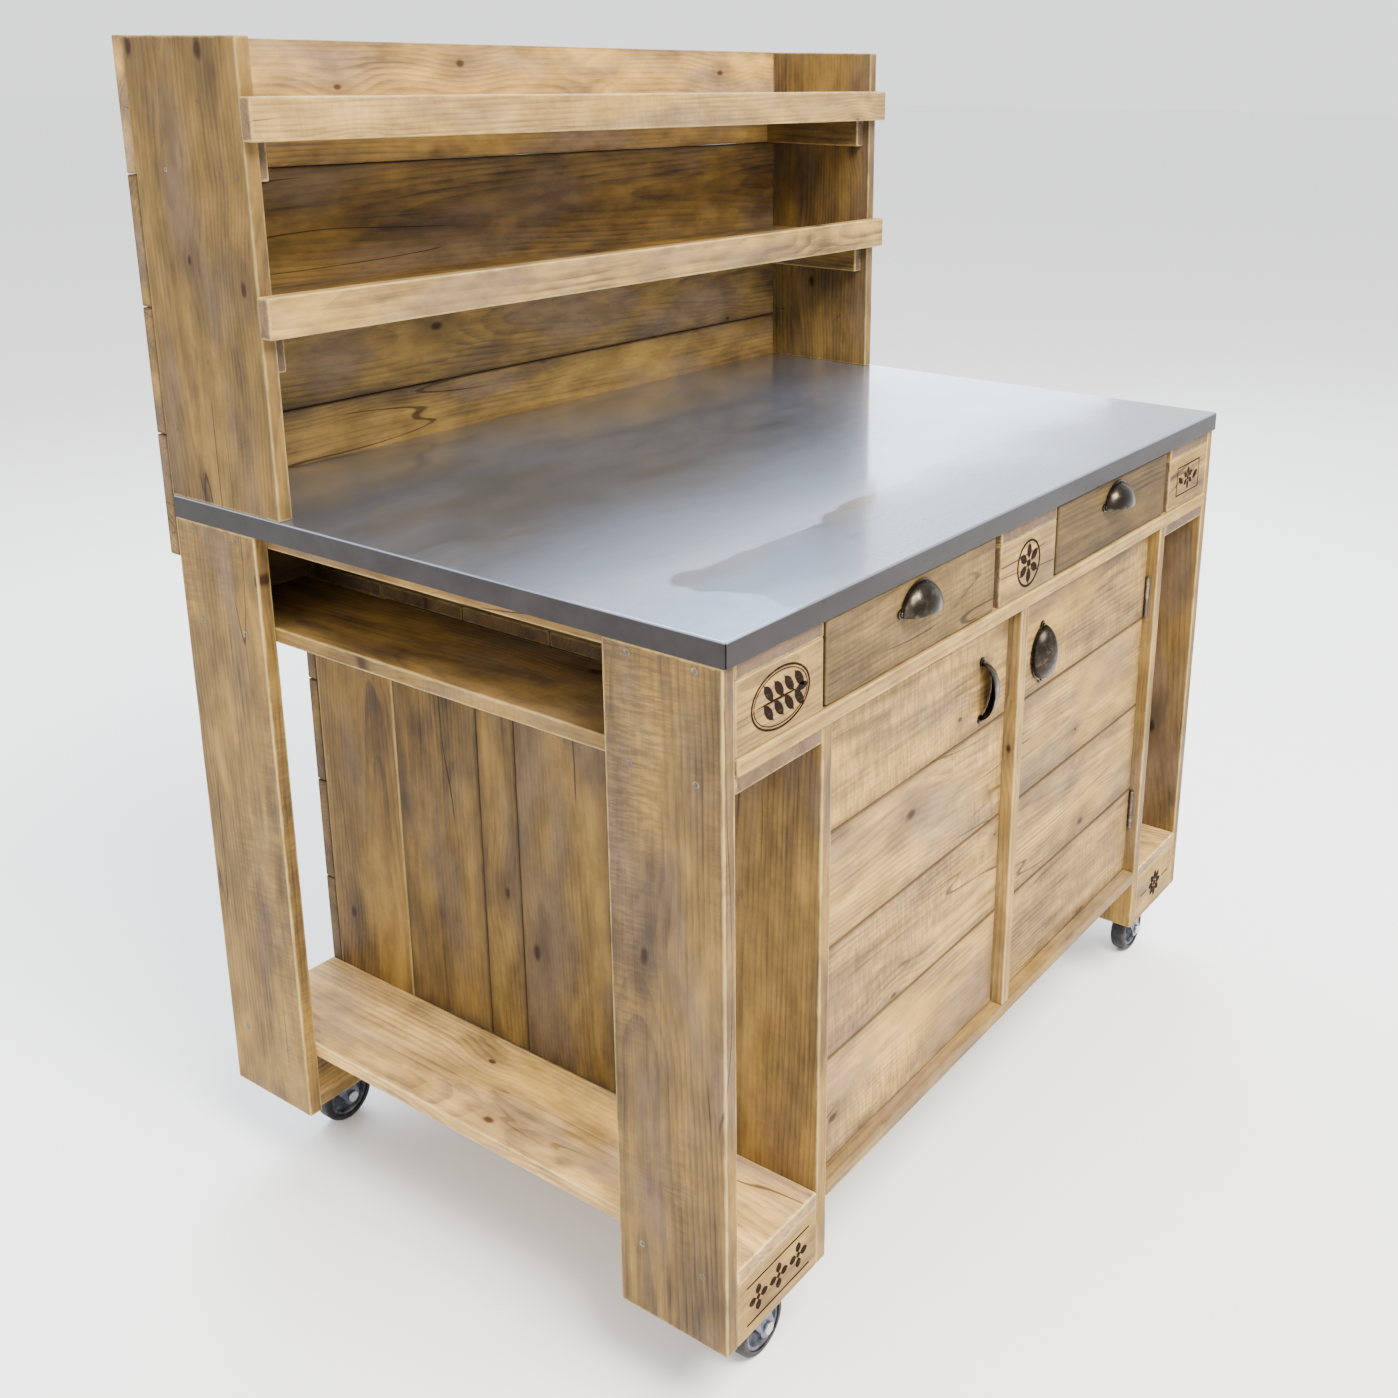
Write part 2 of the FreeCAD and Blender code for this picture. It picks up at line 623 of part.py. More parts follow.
def fork(label, x, y):
    """The swivelling fork: a crown with a hole for the kingpin and two side plates."""
    body = doc.addObject("PartDesign::Body", label + "_body")
    half = "(fork_gap / 2 + fork_wall)"
    corners = [
        ("-crown_half", f"-{half}"), ("crown_half", f"-{half}"),
        ("crown_half", half), ("-crown_half", half),
    ]
    crown = outline(body, label + "_crown", "XY_Plane", corners, "crown_under")
    pad(body, label + "_crown_pad", crown, "crown_thick")
    profile = [
        ("-crown_half", "crown_top"), ("crown_half", "crown_top"),
        ("trail + fork_boss", "wheel_radius"), ("trail - fork_boss", "wheel_radius"),
        ("-crown_half", "crown_under - crown_thick"),
    ]
    for word, offset in (("front", "fork_gap / 2"), ("back", f"-{half}")):
        side = outline(body, f"{label}_side_{word}", "XZ_Plane", profile, offset)
        pad(body, f"{label}_side_{word}_pad", side, "fork_wall")
        boss = round_outline(
            body, f"{label}_boss_{word}", "XZ_Plane", "fork_boss", ("trail", "wheel_radius"), offset
        )
        pad(body, f"{label}_boss_{word}_pad", boss, "fork_wall")
    doc.recompute()
    axle_hole = round_outline(
        body, label + "_axle_hole", "XZ_Plane", "axle_radius", ("trail", "wheel_radius"), half
    )
    pad(body, label + "_axle_bore", axle_hole, f"2 * {half}", "PartDesign::Pocket")
    pin_hole = round_outline(
        body, label + "_pin_hole", "XY_Plane", "kingpin_radius + kingpin_clearance", offset="crown_top"
    )
    pin_bore = pad(body, label + "_pin_bore", pin_hole, "crown_thick", "PartDesign::Pocket")
    body.Tip = pin_bore
    return node(label, bind(body, x=x, y=y))


def axle(label, x, y):
    """A bolt through the fork and the hub, with its head and nut outside the fork."""
    body = doc.addObject("PartDesign::Body", label + "_body")
    fork_half = "(fork_gap / 2 + fork_wall)"
    discs = (
        ("shank", "axle_radius", f"-{fork_half}", f"2 * {fork_half}"),
        ("head", "axle_head_radius", fork_half, "axle_head"),
        ("nut", "axle_head_radius", f"-({fork_half} + axle_head)", "axle_head"),
    )
    for word, radius, offset, length in discs:
        disc = round_outline(body, f"{label}_{word}", "XZ_Plane", radius, offset=offset)
        pad(body, f"{label}_{word}_pad", disc, length)
    return node(label, bind(body, x=x, y=y, z="wheel_radius"))


def wheel(corner, x, y):
    """The wheel on its axle: a turned hub, web and rim, and a tyre round the rim."""
    bore = "axle_radius + axle_clearance"
    steps = [
        (bore, "hub_width / 2"), ("hub_radius", "hub_width / 2"),
        ("hub_radius", "web_thick / 2"), ("rim_radius - rim_thick", "web_thick / 2"),
        ("rim_radius - rim_thick", "rim_width / 2"), ("rim_radius", "rim_width / 2"),
    ]
    other_side = [(radius, f"-({along})") for radius, along in reversed(steps)]
    turned(f"wheel_{corner}", steps + other_side, x, y, "wheel_radius")
    tread = [
        ("rim_radius", "rim_width / 2"), ("wheel_radius - tread_bevel", "tyre_width / 2"),
        ("wheel_radius", "tyre_width / 2 - tread_bevel"),
    ]
    other_side = [(radius, f"-({along})") for radius, along in reversed(tread)]
    turned(f"tyre_{corner}", tread + other_side, x, y, "wheel_radius")


def casters():
    """Four casters, all trailing the same way."""
    plates = []
    for corner in ("front_left", "front_right", "back_left", "back_right"):
        x = "-kingpin_x" if corner.endswith("left") else "kingpin_x"
        y = "front + caster_inset" if corner.startswith("front") else "back - caster_inset"
        plates.append(caster_plate("caster_" + corner, x, y))
        fork("fork_" + corner, x, y)
        axle("axle_" + corner, f"{x} + trail", y)
        wheel(corner, f"{x} + trail", y)
    node("caster_plates", *plates)


# --- screws ----------------------------------------------------------------------------------


def leg_screw(name, side, y, z):
    """A countersunk screw driven in from the outside of a leg."""
    head = add(
        "Part::Cone", name + "_head",
        Radius1="screw_head", Radius2="screw_radius", Height="screw_head_depth",
    )
    shank = add("Part::Cylinder", name + "_shank", Radius="screw_radius", Height="screw_length")
    screw = fuse(name, head, shank)
    screw.Placement.Rotation = FreeCAD.Rotation(FreeCAD.Vector(0, 1, 0), -90 * side)
    return bind(screw, x="half_width" if side > 0 else "-half_width", y=y, z=z)


def leg_screws():
    """Two screws into each bearer and each shelf, near the edges of every leg."""
    screws = []
    heights = {
        "bearer": "bearer_under + board / 2",
        "side_shelf": "side_shelf_under + board / 2",
        "bottom_shelf": "bottom_under + board / 2",
    }
    legs = {"front": "leg_front", "back": "back - leg_width"}
    for word, side in SIDES.items():
        for end, edge in legs.items():
            places = {"a": f"{edge} + screw_inset", "b": f"{edge} + leg_width - screw_inset"}
            for level, z in heights.items():
                for letter, y in places.items():
                    screws.append(leg_screw(f"screw_{end}_{word}_{level}_{letter}", side, y, z))
    node("frame_screws", *screws)


def build():
    carcase()
    under_the_top()
    worktop()
    hutch()
    drawer("left", "-bay_inner", "-opening_near")
    drawer("right", "opening_near", "bay_inner")
    frame_leaves = []
    catches = []
    for word, side in SIDES.items():
        door(word, side, frame_leaves, catches)
    node("frame_hinges", *frame_leaves)
    node("door_catches", *catches)
    casters()
    leg_screws()


def faults():
    """Every object that failed, and every sub-part with no sound shape."""
    doc.recompute()
    found = []
    for item in doc.Objects:
        if "Invalid" in item.State or "Error" in item.State:
            found.append(f"{item.Name}: {item.State}")
    for item in nodes:
        if item.Shape.isNull() or not item.Shape.isValid() or not item.Shape.Solids:
            found.append(f"{item.Label}: no sound shape")
    return found


build()
problems = faults()
if problems:
    raise SystemExit("\n".join(problems))
os.makedirs("parts", exist_ok=True)
for item in nodes:
    item.Shape.exportStep(f"parts/{item.Label}.step")
print(len(nodes), "sub-parts written")
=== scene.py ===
import json
import math
import random

import bmesh
import bpy
from bpy.props import FloatProperty, FloatVectorProperty, PointerProperty
from mathutils import Matrix, Vector

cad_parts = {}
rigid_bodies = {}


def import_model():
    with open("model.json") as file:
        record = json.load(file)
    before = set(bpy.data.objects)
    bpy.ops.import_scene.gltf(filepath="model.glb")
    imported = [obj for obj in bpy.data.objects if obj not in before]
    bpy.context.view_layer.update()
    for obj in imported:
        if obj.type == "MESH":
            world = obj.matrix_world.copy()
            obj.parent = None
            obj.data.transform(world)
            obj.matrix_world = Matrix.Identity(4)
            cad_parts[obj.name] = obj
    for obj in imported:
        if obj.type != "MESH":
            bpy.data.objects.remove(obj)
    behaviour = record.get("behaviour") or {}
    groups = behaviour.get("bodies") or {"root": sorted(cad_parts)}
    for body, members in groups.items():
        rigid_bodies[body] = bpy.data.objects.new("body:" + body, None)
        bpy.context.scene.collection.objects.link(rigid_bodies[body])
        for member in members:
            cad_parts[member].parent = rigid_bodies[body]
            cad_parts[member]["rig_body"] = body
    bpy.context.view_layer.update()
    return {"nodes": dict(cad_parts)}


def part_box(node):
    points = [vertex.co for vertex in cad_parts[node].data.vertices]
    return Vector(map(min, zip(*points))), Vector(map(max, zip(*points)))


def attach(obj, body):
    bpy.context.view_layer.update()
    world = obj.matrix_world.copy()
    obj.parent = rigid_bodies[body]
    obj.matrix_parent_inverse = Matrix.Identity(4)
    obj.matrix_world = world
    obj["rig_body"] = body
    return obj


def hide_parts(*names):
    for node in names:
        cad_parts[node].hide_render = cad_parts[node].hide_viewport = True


bl_info = {
    "name": "Potting Bench",
    "version": (1, 0, 0),
    "blender": (4, 5, 0),
    "location": "View3D > Sidebar > Potting Bench",
    "description": "Dresses a wheeled potting bench in sawn boards, sheet metal and hardware",
    "category": "Object",
}

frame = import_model()


# ---- settings


def colour(title, text, value):
    """A colour that a user may change."""
    return FloatVectorProperty(
        name=title, description=text, default=value, size=3, min=0, max=1, subtype="COLOR"
    )


def length(title, text, value):
    """A length that a user may change, in metres."""
    return FloatProperty(name=title, description=text, default=value, min=0, unit="LENGTH")


class TimberSettings(bpy.types.PropertyGroup):
    """Sizes and tones of the sawn boards."""

    arris: length("Arris", "Width of the eased edge of a board", 0.0018)
    wander: length("Wander", "How far an edge wanders from a straight line", 0.0007)
    wander_step: length("Wander step", "Spacing of the points along a board", 0.045)
    early: colour("Early wood", "Pale wood of the front boards", (0.350, 0.215, 0.066))
    late: colour("Late wood", "Dark growth rings of the front boards", (0.070, 0.043, 0.022))
    brown_early: colour("Brown early wood", "Pale wood of the legs and inner boards", (0.205, 0.119, 0.029))
    brown_late: colour("Brown late wood", "Dark rings of the legs and inner boards", (0.050, 0.032, 0.019))
    wash: colour("Wash", "Grey stain that sits on the wood in patches", (0.135, 0.090, 0.056))
    ochre: colour("Ochre", "Warm patches where the stain is thin", (0.29, 0.170, 0.036))
    worn: colour("Worn edge", "Bare wood along the eased edges", (0.40, 0.280, 0.100))
    knot: colour("Knot", "Middle of a knot", (0.020, 0.008, 0.003))
    end: colour("End grain", "Stained end of a board", (0.085, 0.054, 0.038))


class MetalSettings(bpy.types.PropertyGroup):
    """Sizes and tones of the worktop's sheet and of the hardware."""

    fold: length("Fold", "Radius of the sheet's folded edge", 0.0022)
    seam: length("Seam", "Width of the open corner seam", 0.0011)
    ripple: length("Ripple", "How far the sheet's top is from flat", 0.0009)
    gauge: length("Gauge", "Thickness of the sheet", 0.0012)
    sheet: colour("Sheet", "Brushed steel of the worktop", (0.36, 0.425, 0.55))
    sheet_dull: colour("Dull sheet", "Hazy patches of the worktop", (0.28, 0.325, 0.42))
    bronze: colour("Bronze", "Body of a cup pull", (0.026, 0.021, 0.016))
    bronze_worn: colour("Worn bronze", "Rubbed parts of a cup pull", (0.085, 0.070, 0.050))
    zinc: colour("Zinc", "Plated steel of the casters, hinges and screws", (0.42, 0.43, 0.45))
    ease: length("Ease", "Eased edge of pressed steel", 0.0004)


class CasterSettings(bpy.types.PropertyGroup):
    """Sizes and tones of the wheels."""

    shoulder: length("Shoulder", "Rounding of the tyre's shoulders", 0.005)
    tread: length("Tread", "Thickness of the tyre", 0.008)
    rubber: colour("Rubber", "Tyre", (0.010, 0.010, 0.011))
    hub: colour("Hub", "Moulded wheel body", (0.035, 0.040, 0.052))


class StageSettings(bpy.types.PropertyGroup):
    """Floor, lights and camera."""

    floor: colour("Floor", "Plain pale floor", (0.93, 0.93, 0.93))
    sky: colour("Surround", "Light from all round", (0.97, 0.98, 1.0))
    sky_strength: FloatProperty(
        name="Surround strength", description="Strength of the surround", default=1.7
    )
    key: FloatProperty(
        name="Key light", description="Large soft light in front", default=950.0, unit="POWER"
    )
    lens: FloatProperty(name="Lens", description="Focal length", default=39.56, unit="CAMERA")


def settings(group):
    """One of the four groups of settings."""
    return getattr(bpy.context.scene, "bench_" + group)


# ---- modelling helpers


SAME_SPOT = 1e-6


def only(piece):
    """Selects one object and makes it the active one."""
    bpy.ops.object.select_all(action="DESELECT")
    piece.select_set(True)
    bpy.context.view_layer.objects.active = piece


def added(name):
    """The primitive just added, named, with its place put into its mesh."""
    piece = bpy.context.object
    piece.name = name
    bpy.ops.object.transform_apply(location=True, rotation=True, scale=True)
    return piece


def edit(piece, kind="FACE"):
    """Opens a piece in edit mode with nothing selected."""
    only(piece)
    bpy.ops.object.mode_set(mode="EDIT")
    bpy.ops.mesh.select_mode(type=kind)
    bpy.ops.mesh.select_all(action="DESELECT")


def pick(piece, group, test):
    """Selects the vertices, edges or faces (by the group's name) that pass a test, and only those."""
    bpy.ops.mesh.select_all(action="DESELECT")
    shape = bmesh.from_edit_mesh(piece.data)
    for element in getattr(shape, group):
        if test(element):
            element.select_set(True)
    shape.select_flush_mode()
    bmesh.update_edit_mesh(piece.data)


def pick_all():
    """Selects the whole of the piece in edit mode."""
    bpy.ops.mesh.select_all(action="SELECT")


def pull_faces(x=0.0, y=0.0, z=0.0):
    """Extrudes the selected faces by this much."""
    bpy.ops.mesh.extrude_region_move(TRANSFORM_OT_translate={"value": (x, y, z)})


def scale(x, y, z, centre=(0, 0, 0)):
    """Scales what is selected, about a centre."""
    bpy.ops.transform.resize(value=(x, y, z), center_override=centre)


def done():
    """Leaves edit mode."""
    bpy.ops.object.mode_set(mode="OBJECT")


def middle(element):
    """The middle of an edge or a face."""
    corners = [vert.co for vert in element.verts]
    return sum(corners, Vector()) / len(corners)


def finish(piece, kind, **values):
    """Adds a modifier with these values and applies it."""
    only(piece)
    modifier = piece.modifiers.new(kind.lower(), kind)
    for name, value in values.items():
        setattr(modifier, name, value)
    bpy.ops.object.modifier_apply(modifier=modifier.name)


def ease(piece, width, segments=2, degrees=30):
    """Rounds the edges where faces meet at more than this angle."""
    angle = math.radians(degrees)
    finish(piece, "BEVEL", width=width, segments=segments, limit_method="ANGLE", angle_limit=angle)


def smooth(piece, degrees=40):
    """Smooth shading, with creases where faces meet at more than this angle."""
    only(piece)
    bpy.ops.object.shade_smooth_by_angle(angle=math.radians(degrees))


def joined(name, pieces):
    """Several objects made one."""
    bpy.ops.object.select_all(action="DESELECT")
    for piece in pieces:
        piece.select_set(True)
    bpy.context.view_layer.objects.active = pieces[0]
    if len(pieces) > 1:
        bpy.ops.object.join()
    pieces[0].name = name
    return pieces[0]


def copied(piece, name, matrix=Matrix()):
    """A copy of a piece, with its own mesh, moved by a matrix."""
    twin = bpy.data.objects.new(name, piece.data.copy())
    bpy.context.scene.collection.objects.link(twin)
    twin.data.transform(matrix)
    return twin


def outward(piece):
    """Turns every face outwards."""
    edit(piece)
    pick_all()
    bpy.ops.mesh.remove_doubles(threshold=SAME_SPOT)
    bpy.ops.mesh.normals_make_consistent(inside=False)
    done()


def cylinder(name, centre, radius, depth, axis, sides=48):
    """A capped cylinder along X, Y or Z."""
    turns = {"X": (0, math.pi / 2, 0), "Y": (math.pi / 2, 0, 0), "Z": (0, 0, 0)}
    bpy.ops.mesh.primitive_cylinder_add(
        vertices=sides, radius=radius, depth=depth, location=centre, rotation=turns[axis]
    )
    return added(name)


def place(piece, material, node):
    """Gives a piece its material and slot, and the body and place of the CAD node it stands for."""
    piece.data.materials.clear()
    piece.data.materials.append(finish_named(material))
    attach(piece, frame["nodes"][node]["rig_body"])
    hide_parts(node)


# ---- material helpers


class Graph:
    """A material and a short way to add and join its nodes."""

    def __init__(self, name):
        self.material = bpy.data.materials.new(name)
        self.material.use_nodes = True
        self.tree = self.material.node_tree
        self.tree.nodes.clear()

    def add(self, kind, inputs, out=0, **values):
        """Adds a node. Inputs are numbers, colours or other nodes' outputs, by name or by place."""
        made = self.tree.nodes.new("ShaderNode" + kind)
        for name, value in values.items():
            setattr(made, name, value)
        for key, value in inputs.items():
            socket = made.inputs[key]
            if isinstance(value, bpy.types.NodeSocket):
                self.tree.links.new(value, socket)
            else:
                socket.default_value = (*value, 1.0) if socket.type == "RGBA" else value
        return made.outputs[out] if made.outputs else None

    def spot(self):
        """The object's own coordinates, in metres."""
        return self.add("TexCoord", {}, out=3)

    def attribute(self, name):
        """Three numbers written on the mesh's points."""
        return self.add("Attribute", {}, out=1, attribute_name=name)

    def maths(self, operation, first, second=0.0):
        """One sum on numbers."""
        return self.add("Math", {0: first, 1: second}, operation=operation)

    def times(self, first, second):
        """The product of two numbers."""
        return self.maths("MULTIPLY", first, second)

    def plus(self, first, second):
        """The sum of two numbers."""
        return self.maths("ADD", first, second)

    def minus(self, first, second):
        """The first number less the second."""
        return self.maths("SUBTRACT", first, second)

    def centred(self, value):
        """A number between 0 and 1, moved to lie between -0.5 and 0.5."""
        return self.minus(value, 0.5)

    def weighed(self, *pairs):
        """The sum of some numbers, each times its weight."""
        total = 0.0
        for value, weight in pairs:
            total = self.plus(total, self.times(value, weight))
        return total

    def vector(self, operation, first, second=(0, 0, 0), third=(0, 0, 0)):
        """One sum on vectors."""
        return self.add("VectorMath", {0: first, 1: second, 2: third}, operation=operation)

    def inset_of(self, grain):
        """How far a spot lies inside each of a board's three pairs of faces."""
        return self.vector("SUBTRACT", self.attribute("half"), self.vector("ABSOLUTE", grain))

    def split(self, value):
        """The three numbers of a vector."""
        return self.add("SeparateXYZ", {0: value}).node.outputs[:]

    def step(self, value, low, high, start=0.0, end=1.0):
        """A soft step from start to end as the value goes from low to high."""
        inputs = {0: value, 1: low, 2: high, 3: start, 4: end}
        return self.add("MapRange", inputs, interpolation_type="SMOOTHSTEP")

    def noise(self, spot, stretch, detail=2, rough=0.5):
        """Noise with this many features to the metre along each axis."""
        inputs = {"Vector": self.vector("MULTIPLY", spot, stretch), "Scale": 1.0, "Detail": detail}
        return self.add("TexNoise", {**inputs, "Roughness": rough})

    def mix(self, factor, first, second):
        """A mix of two colours."""
        return self.add("Mix", {0: factor, 6: first, 7: second}, out=2, data_type="RGBA")

    def bump(self, height, distance):
        """A bump from a height between 0 and 1."""
        return self.add("Bump", {"Height": height, "Distance": distance, "Strength": 1.0})

    def surface(self, **inputs):
        """The shader and the output. Names are the shader's inputs, with _ for a space."""
        values = {name.replace("_", " "): value for name, value in inputs.items()}
        shader = self.add("BsdfPrincipled", values)
        self.add("OutputMaterial", {"Surface": shader})
        return self.material


def timber(name, early, late):
    """Stained pine. Grain, half and lot are each board's own place, half size and random numbers."""
    tones = settings("timber")
    g = Graph(name)
    grain = g.attribute("grain")
    lot = g.attribute("lot")
    wear, roughness, tone = g.split(g.attribute("look"))
    lot_x, lot_y, lot_z = g.split(lot)
    along, across, through = g.split(grain)
    spot = g.vector("MULTIPLY_ADD", lot, (31.0, 17.0, 23.0), grain)

    # knots: one cell in two holds one, an oval drawn out along the grain
    cells = {"Vector": g.vector("MULTIPLY", spot, (4.2, 7.6, 0.0)), "Scale": 1.0, "Randomness": 0.9}
    gap = g.add("TexVoronoi", cells, voronoi_dimensions="2D")
    chance, girth, _ = g.split(g.add("TexVoronoi", cells, out=1, voronoi_dimensions="2D"))
    missing = g.maths("LESS_THAN", chance, 0.58)
    ragged = g.times(g.noise(spot, (60, 90, 60)), 0.03)
    gap = g.maths("DIVIDE", gap, g.plus(girth, 0.45))
    gap = g.plus(g.plus(gap, missing), ragged)
    core = g.step(gap, 0.062, 0.030)
    halo = g.step(gap, 0.26, 0.04)
    swell = g.step(gap, 0.5, 0.0)

    # growth rings round a pith that lies beside the board and leans a little
    lean = g.times(along, g.times(g.centred(lot_z), 0.09))
    side = g.plus(across, g.times(g.centred(lot_x), 0.13))
    depth = g.plus(through, g.plus(0.022, g.times(lot_y, 0.05)))
    radius = g.maths("SQRT", g.plus(g.maths("POWER", side, 2.0), g.maths("POWER", depth, 2.0)))
    radius = g.plus(g.plus(radius, lean), g.times(g.noise(spot, (1.6, 7, 7), 3), 0.026))
    radius = g.plus(radius, g.times(swell, 0.011))
    ring_gap = 0.0058
    ring_part = g.maths("FRACT", g.maths("DIVIDE", radius, ring_gap))
    late_wood = g.times(g.step(ring_part, 0.25, 0.88), g.step(ring_part, 1.0, 0.92))

    fibre = g.noise(spot, (9, 420, 420), 3, 0.6)
    streak = g.noise(spot, (1.3, 48, 48), 3, 0.6)
    slant = g.add("CombineXYZ", {0: g.times(across, 0.06)})
    saw = g.noise(g.vector("ADD", spot, slant), (190, 24, 24), 4, 0.7)
    sawn = g.times(g.step(g.noise(spot, (2.6, 6, 6)), 0.42, 0.62), roughness)

    cloud = g.step(g.noise(spot, (5.5, 13, 13), 4, 0.6), 0.40, 0.72)
    darkness = g.weighed(
        (late_wood, 0.30), (g.centred(streak), 1.1), (g.centred(fibre), 0.8), (cloud, 0.55),
        (lot_y, 0.26),
    )
    shade = g.mix(g.minus(darkness, 0.04), early, late)
    patch = g.step(g.noise(spot, (4, 10, 10), 4), 0.46, 0.64, 0, 0.66)
    shade = g.mix(patch, shade, tones.wash)
    elsewhere = g.vector("ADD", spot, (7.0, 3.0, 5.0))
    warm = g.step(g.noise(elsewhere, (4.5, 11, 11), 4), 0.50, 0.68, 0, 0.62)
    shade = g.mix(warm, shade, tones.ochre)
    marks = g.times(g.step(saw, 0.58, 0.42), g.times(sawn, 0.5))
    shade = g.mix(marks, shade, late)
    shade = g.mix(g.times(halo, 0.5), shade, late)
    shade = g.mix(g.times(core, 0.9), shade, tones.knot)

    # drying cracks along the grain
    line = g.maths("ABSOLUTE", g.centred(g.noise(spot, (1.1, 13, 13), 2)))
    some = g.step(g.noise(spot, (2.6, 9, 9)), 0.55, 0.62)
    crack = g.times(g.step(line, 0.006, 0.002), some)
    shade = g.mix(g.times(crack, 0.75), shade, tones.knot)

    # distance from the nearest arris: the middle one of the distances from the three pairs of faces
    a, b, c = g.split(g.inset_of(grain))
    nearest = g.maths("MINIMUM", g.maths("MAXIMUM", a, b), c)
    rim = g.maths("MAXIMUM", g.maths("MINIMUM", a, b), nearest)
    end = g.step(a, 0.0022, 0.0008)
    shade = g.mix(g.times(end, g.times(wear, 0.8)), shade, tones.end)
    clean = g.minus(1.0, wear)
    # a soft dark band a few centimetres in from each arris of the less worn boards: partly stain, partly
    # painted shade along the joints between boards
    blurred = g.plus(rim, g.times(g.noise(spot, (9, 30, 30), 3), 0.06))
    stain_and_soft_shade = g.times(g.step(blurred, 0.050, 0.024, 0.0, 0.55), clean)
    shade = g.mix(stain_and_soft_shade, shade, late)
    # dark lines along each arris: partly grime, partly painted shade for the shadowed gaps between planks
    # that touch
    grime_and_gap_shade = g.times(g.step(rim, 0.0034, 0.0010), clean)
    shade = g.mix(g.times(grime_and_gap_shade, 0.85), shade, tones.knot)
    ragged_rim = g.plus(rim, g.times(g.noise(spot, (45, 120, 120), 3), 0.0042))
    worn = g.times(g.step(ragged_rim, 0.0056, 0.0026, 0.0, 0.8), wear)
    shade = g.mix(worn, shade, tones.worn)

    mottle = g.step(g.noise(spot, (13, 34, 34), 4, 0.65), 0.30, 0.70, 0.76, 1.26)
    # the look's tone scales the whole board's colour; for some boards it is painted light (see LOOKS)
    shade = g.add("VectorMath", {0: shade, "Scale": g.times(tone, mottle)}, operation="SCALE")
    height = g.weighed(
        (fibre, 0.3), (g.times(saw, sawn), 0.5), (late_wood, -0.12), (crack, -0.9), (core, -0.25)
    )
    rough = g.plus(g.times(fibre, 0.25), 0.52)
    return g.surface(
        Base_Color=shade, Roughness=rough, Normal=g.bump(height, 0.0007), Specular_IOR_Level=0.16
    )


def plywood(name):
    """Birch plywood, with its plies along the edges."""
    g = Graph(name)
    grain = g.attribute("grain")
    face = g.step(g.split(g.inset_of(grain))[2], 0.0012, 0.0002)
    ply_thick = 0.0016
    ply = g.maths("PINGPONG", g.maths("DIVIDE", g.split(grain)[2], ply_thick), 1.0)
    figure = g.noise(grain, (2, 26, 26), 4, 0.6)
    sheet = g.mix(figure, (0.60, 0.43, 0.25), (0.42, 0.27, 0.13))
    edges = g.mix(g.step(ply, 0.35, 0.65), (0.56, 0.40, 0.22), (0.24, 0.14, 0.07))
    fibre = g.noise(grain, (14, 380, 380), 3)
    shade = g.mix(g.times(fibre, 0.35), g.mix(face, edges, sheet), (0.33, 0.2, 0.1))
    return g.surface(Base_Color=shade, Roughness=0.62, Normal=g.bump(fibre, 0.0003))


def sheet_metal(name):
    """Brushed steel with hazy patches, wipe marks and fine scratches."""
    metal = settings("metal")
    g = Graph(name)
    spot = g.spot()
    haze = g.noise(spot, (2.6, 3.4, 3), 5, 0.6)
    brushed = g.noise(spot, (3, 520, 520), 2, 0.6)
    wipes = g.noise(spot, (7, 22, 20), 4, 0.65)
    spots = g.step(g.noise(spot, (55, 60, 60), 3), 0.66, 0.72)
    dull = g.weighed((haze, 0.9), (wipes, 0.35))
    shade = g.mix(g.step(dull, 0.45, 0.85), metal.sheet, metal.sheet_dull)
    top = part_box("worktop_sheet")[1].z
    x, y, z = g.split(spot)
    # the folded sides below the top's edge are painted dark: painted shade that makes the sides darker than
    # the top, mottled by the wipe marks; the coat is left off them
    rim = g.step(z, top - 0.0008, top - 0.0022)
    flat = g.minus(1.0, rim)
    stain = g.mix(wipes, (0.022, 0.019, 0.017), (0.060, 0.054, 0.056))
    shade = g.mix(rim, shade, stain)
    # a wavy-edged film along the front
    swirl = g.times(g.centred(g.noise(spot, (6, 9, 6), 3)), 0.16)
    front = g.step(g.plus(y, swirl), -0.242, -0.250)
    inner = g.step(g.plus(x, swirl), -0.492, -0.484)
    film = g.times(g.times(front, inner), flat)
    shade = g.mix(g.times(film, 0.85), shade, (0.215, 0.250, 0.325))
    rough = g.step(dull, 0.42, 0.85, 0.38, 0.52)
    rough = g.plus(rough, g.weighed((film, -0.13), (g.centred(brushed), 0.10), (spots, 0.08)))
    height = g.weighed((brushed, 0.5), (wipes, 0.5))
    return g.surface(
        Base_Color=shade, Metallic=1.0, Roughness=rough, Normal=g.bump(height, 0.00003),
        Coat_Weight=flat, Coat_Roughness=0.10, Coat_IOR=2.0,
    )


def worn_metal(name, shade, rubbed, low, high):
    """Cast or plated metal, rubbed bright in patches. Low and high are its roughness."""
    g = Graph(name)
    spot = g.spot()
    patch = g.noise(spot, (70, 70, 70), 4, 0.6)
    grit = g.noise(spot, (900, 900, 900), 2)
    tone = g.mix(g.step(patch, 0.48, 0.72), shade, rubbed)
    rough = g.step(patch, 0.3, 0.75, high, low)
    return g.surface(Base_Color=tone, Metallic=1.0, Roughness=rough, Normal=g.bump(grit, 0.00005))


def moulded(name, shade, dusty, rough):
    """Moulded rubber or plastic with a little dust in its pores."""
    g = Graph(name)
    spot = g.spot()
    dust = g.step(g.noise(spot, (60, 60, 60), 4, 0.6), 0.45, 0.75, 0, 0.7)
    pores = g.noise(spot, (700, 700, 700), 2)
    tone = g.mix(dust, shade, dusty)
    matt = g.plus(g.times(dust, 0.2), rough)
    return g.surface(
        Base_Color=tone, Roughness=matt, Normal=g.bump(pores, 0.0001), Specular_IOR_Level=0.25
    )


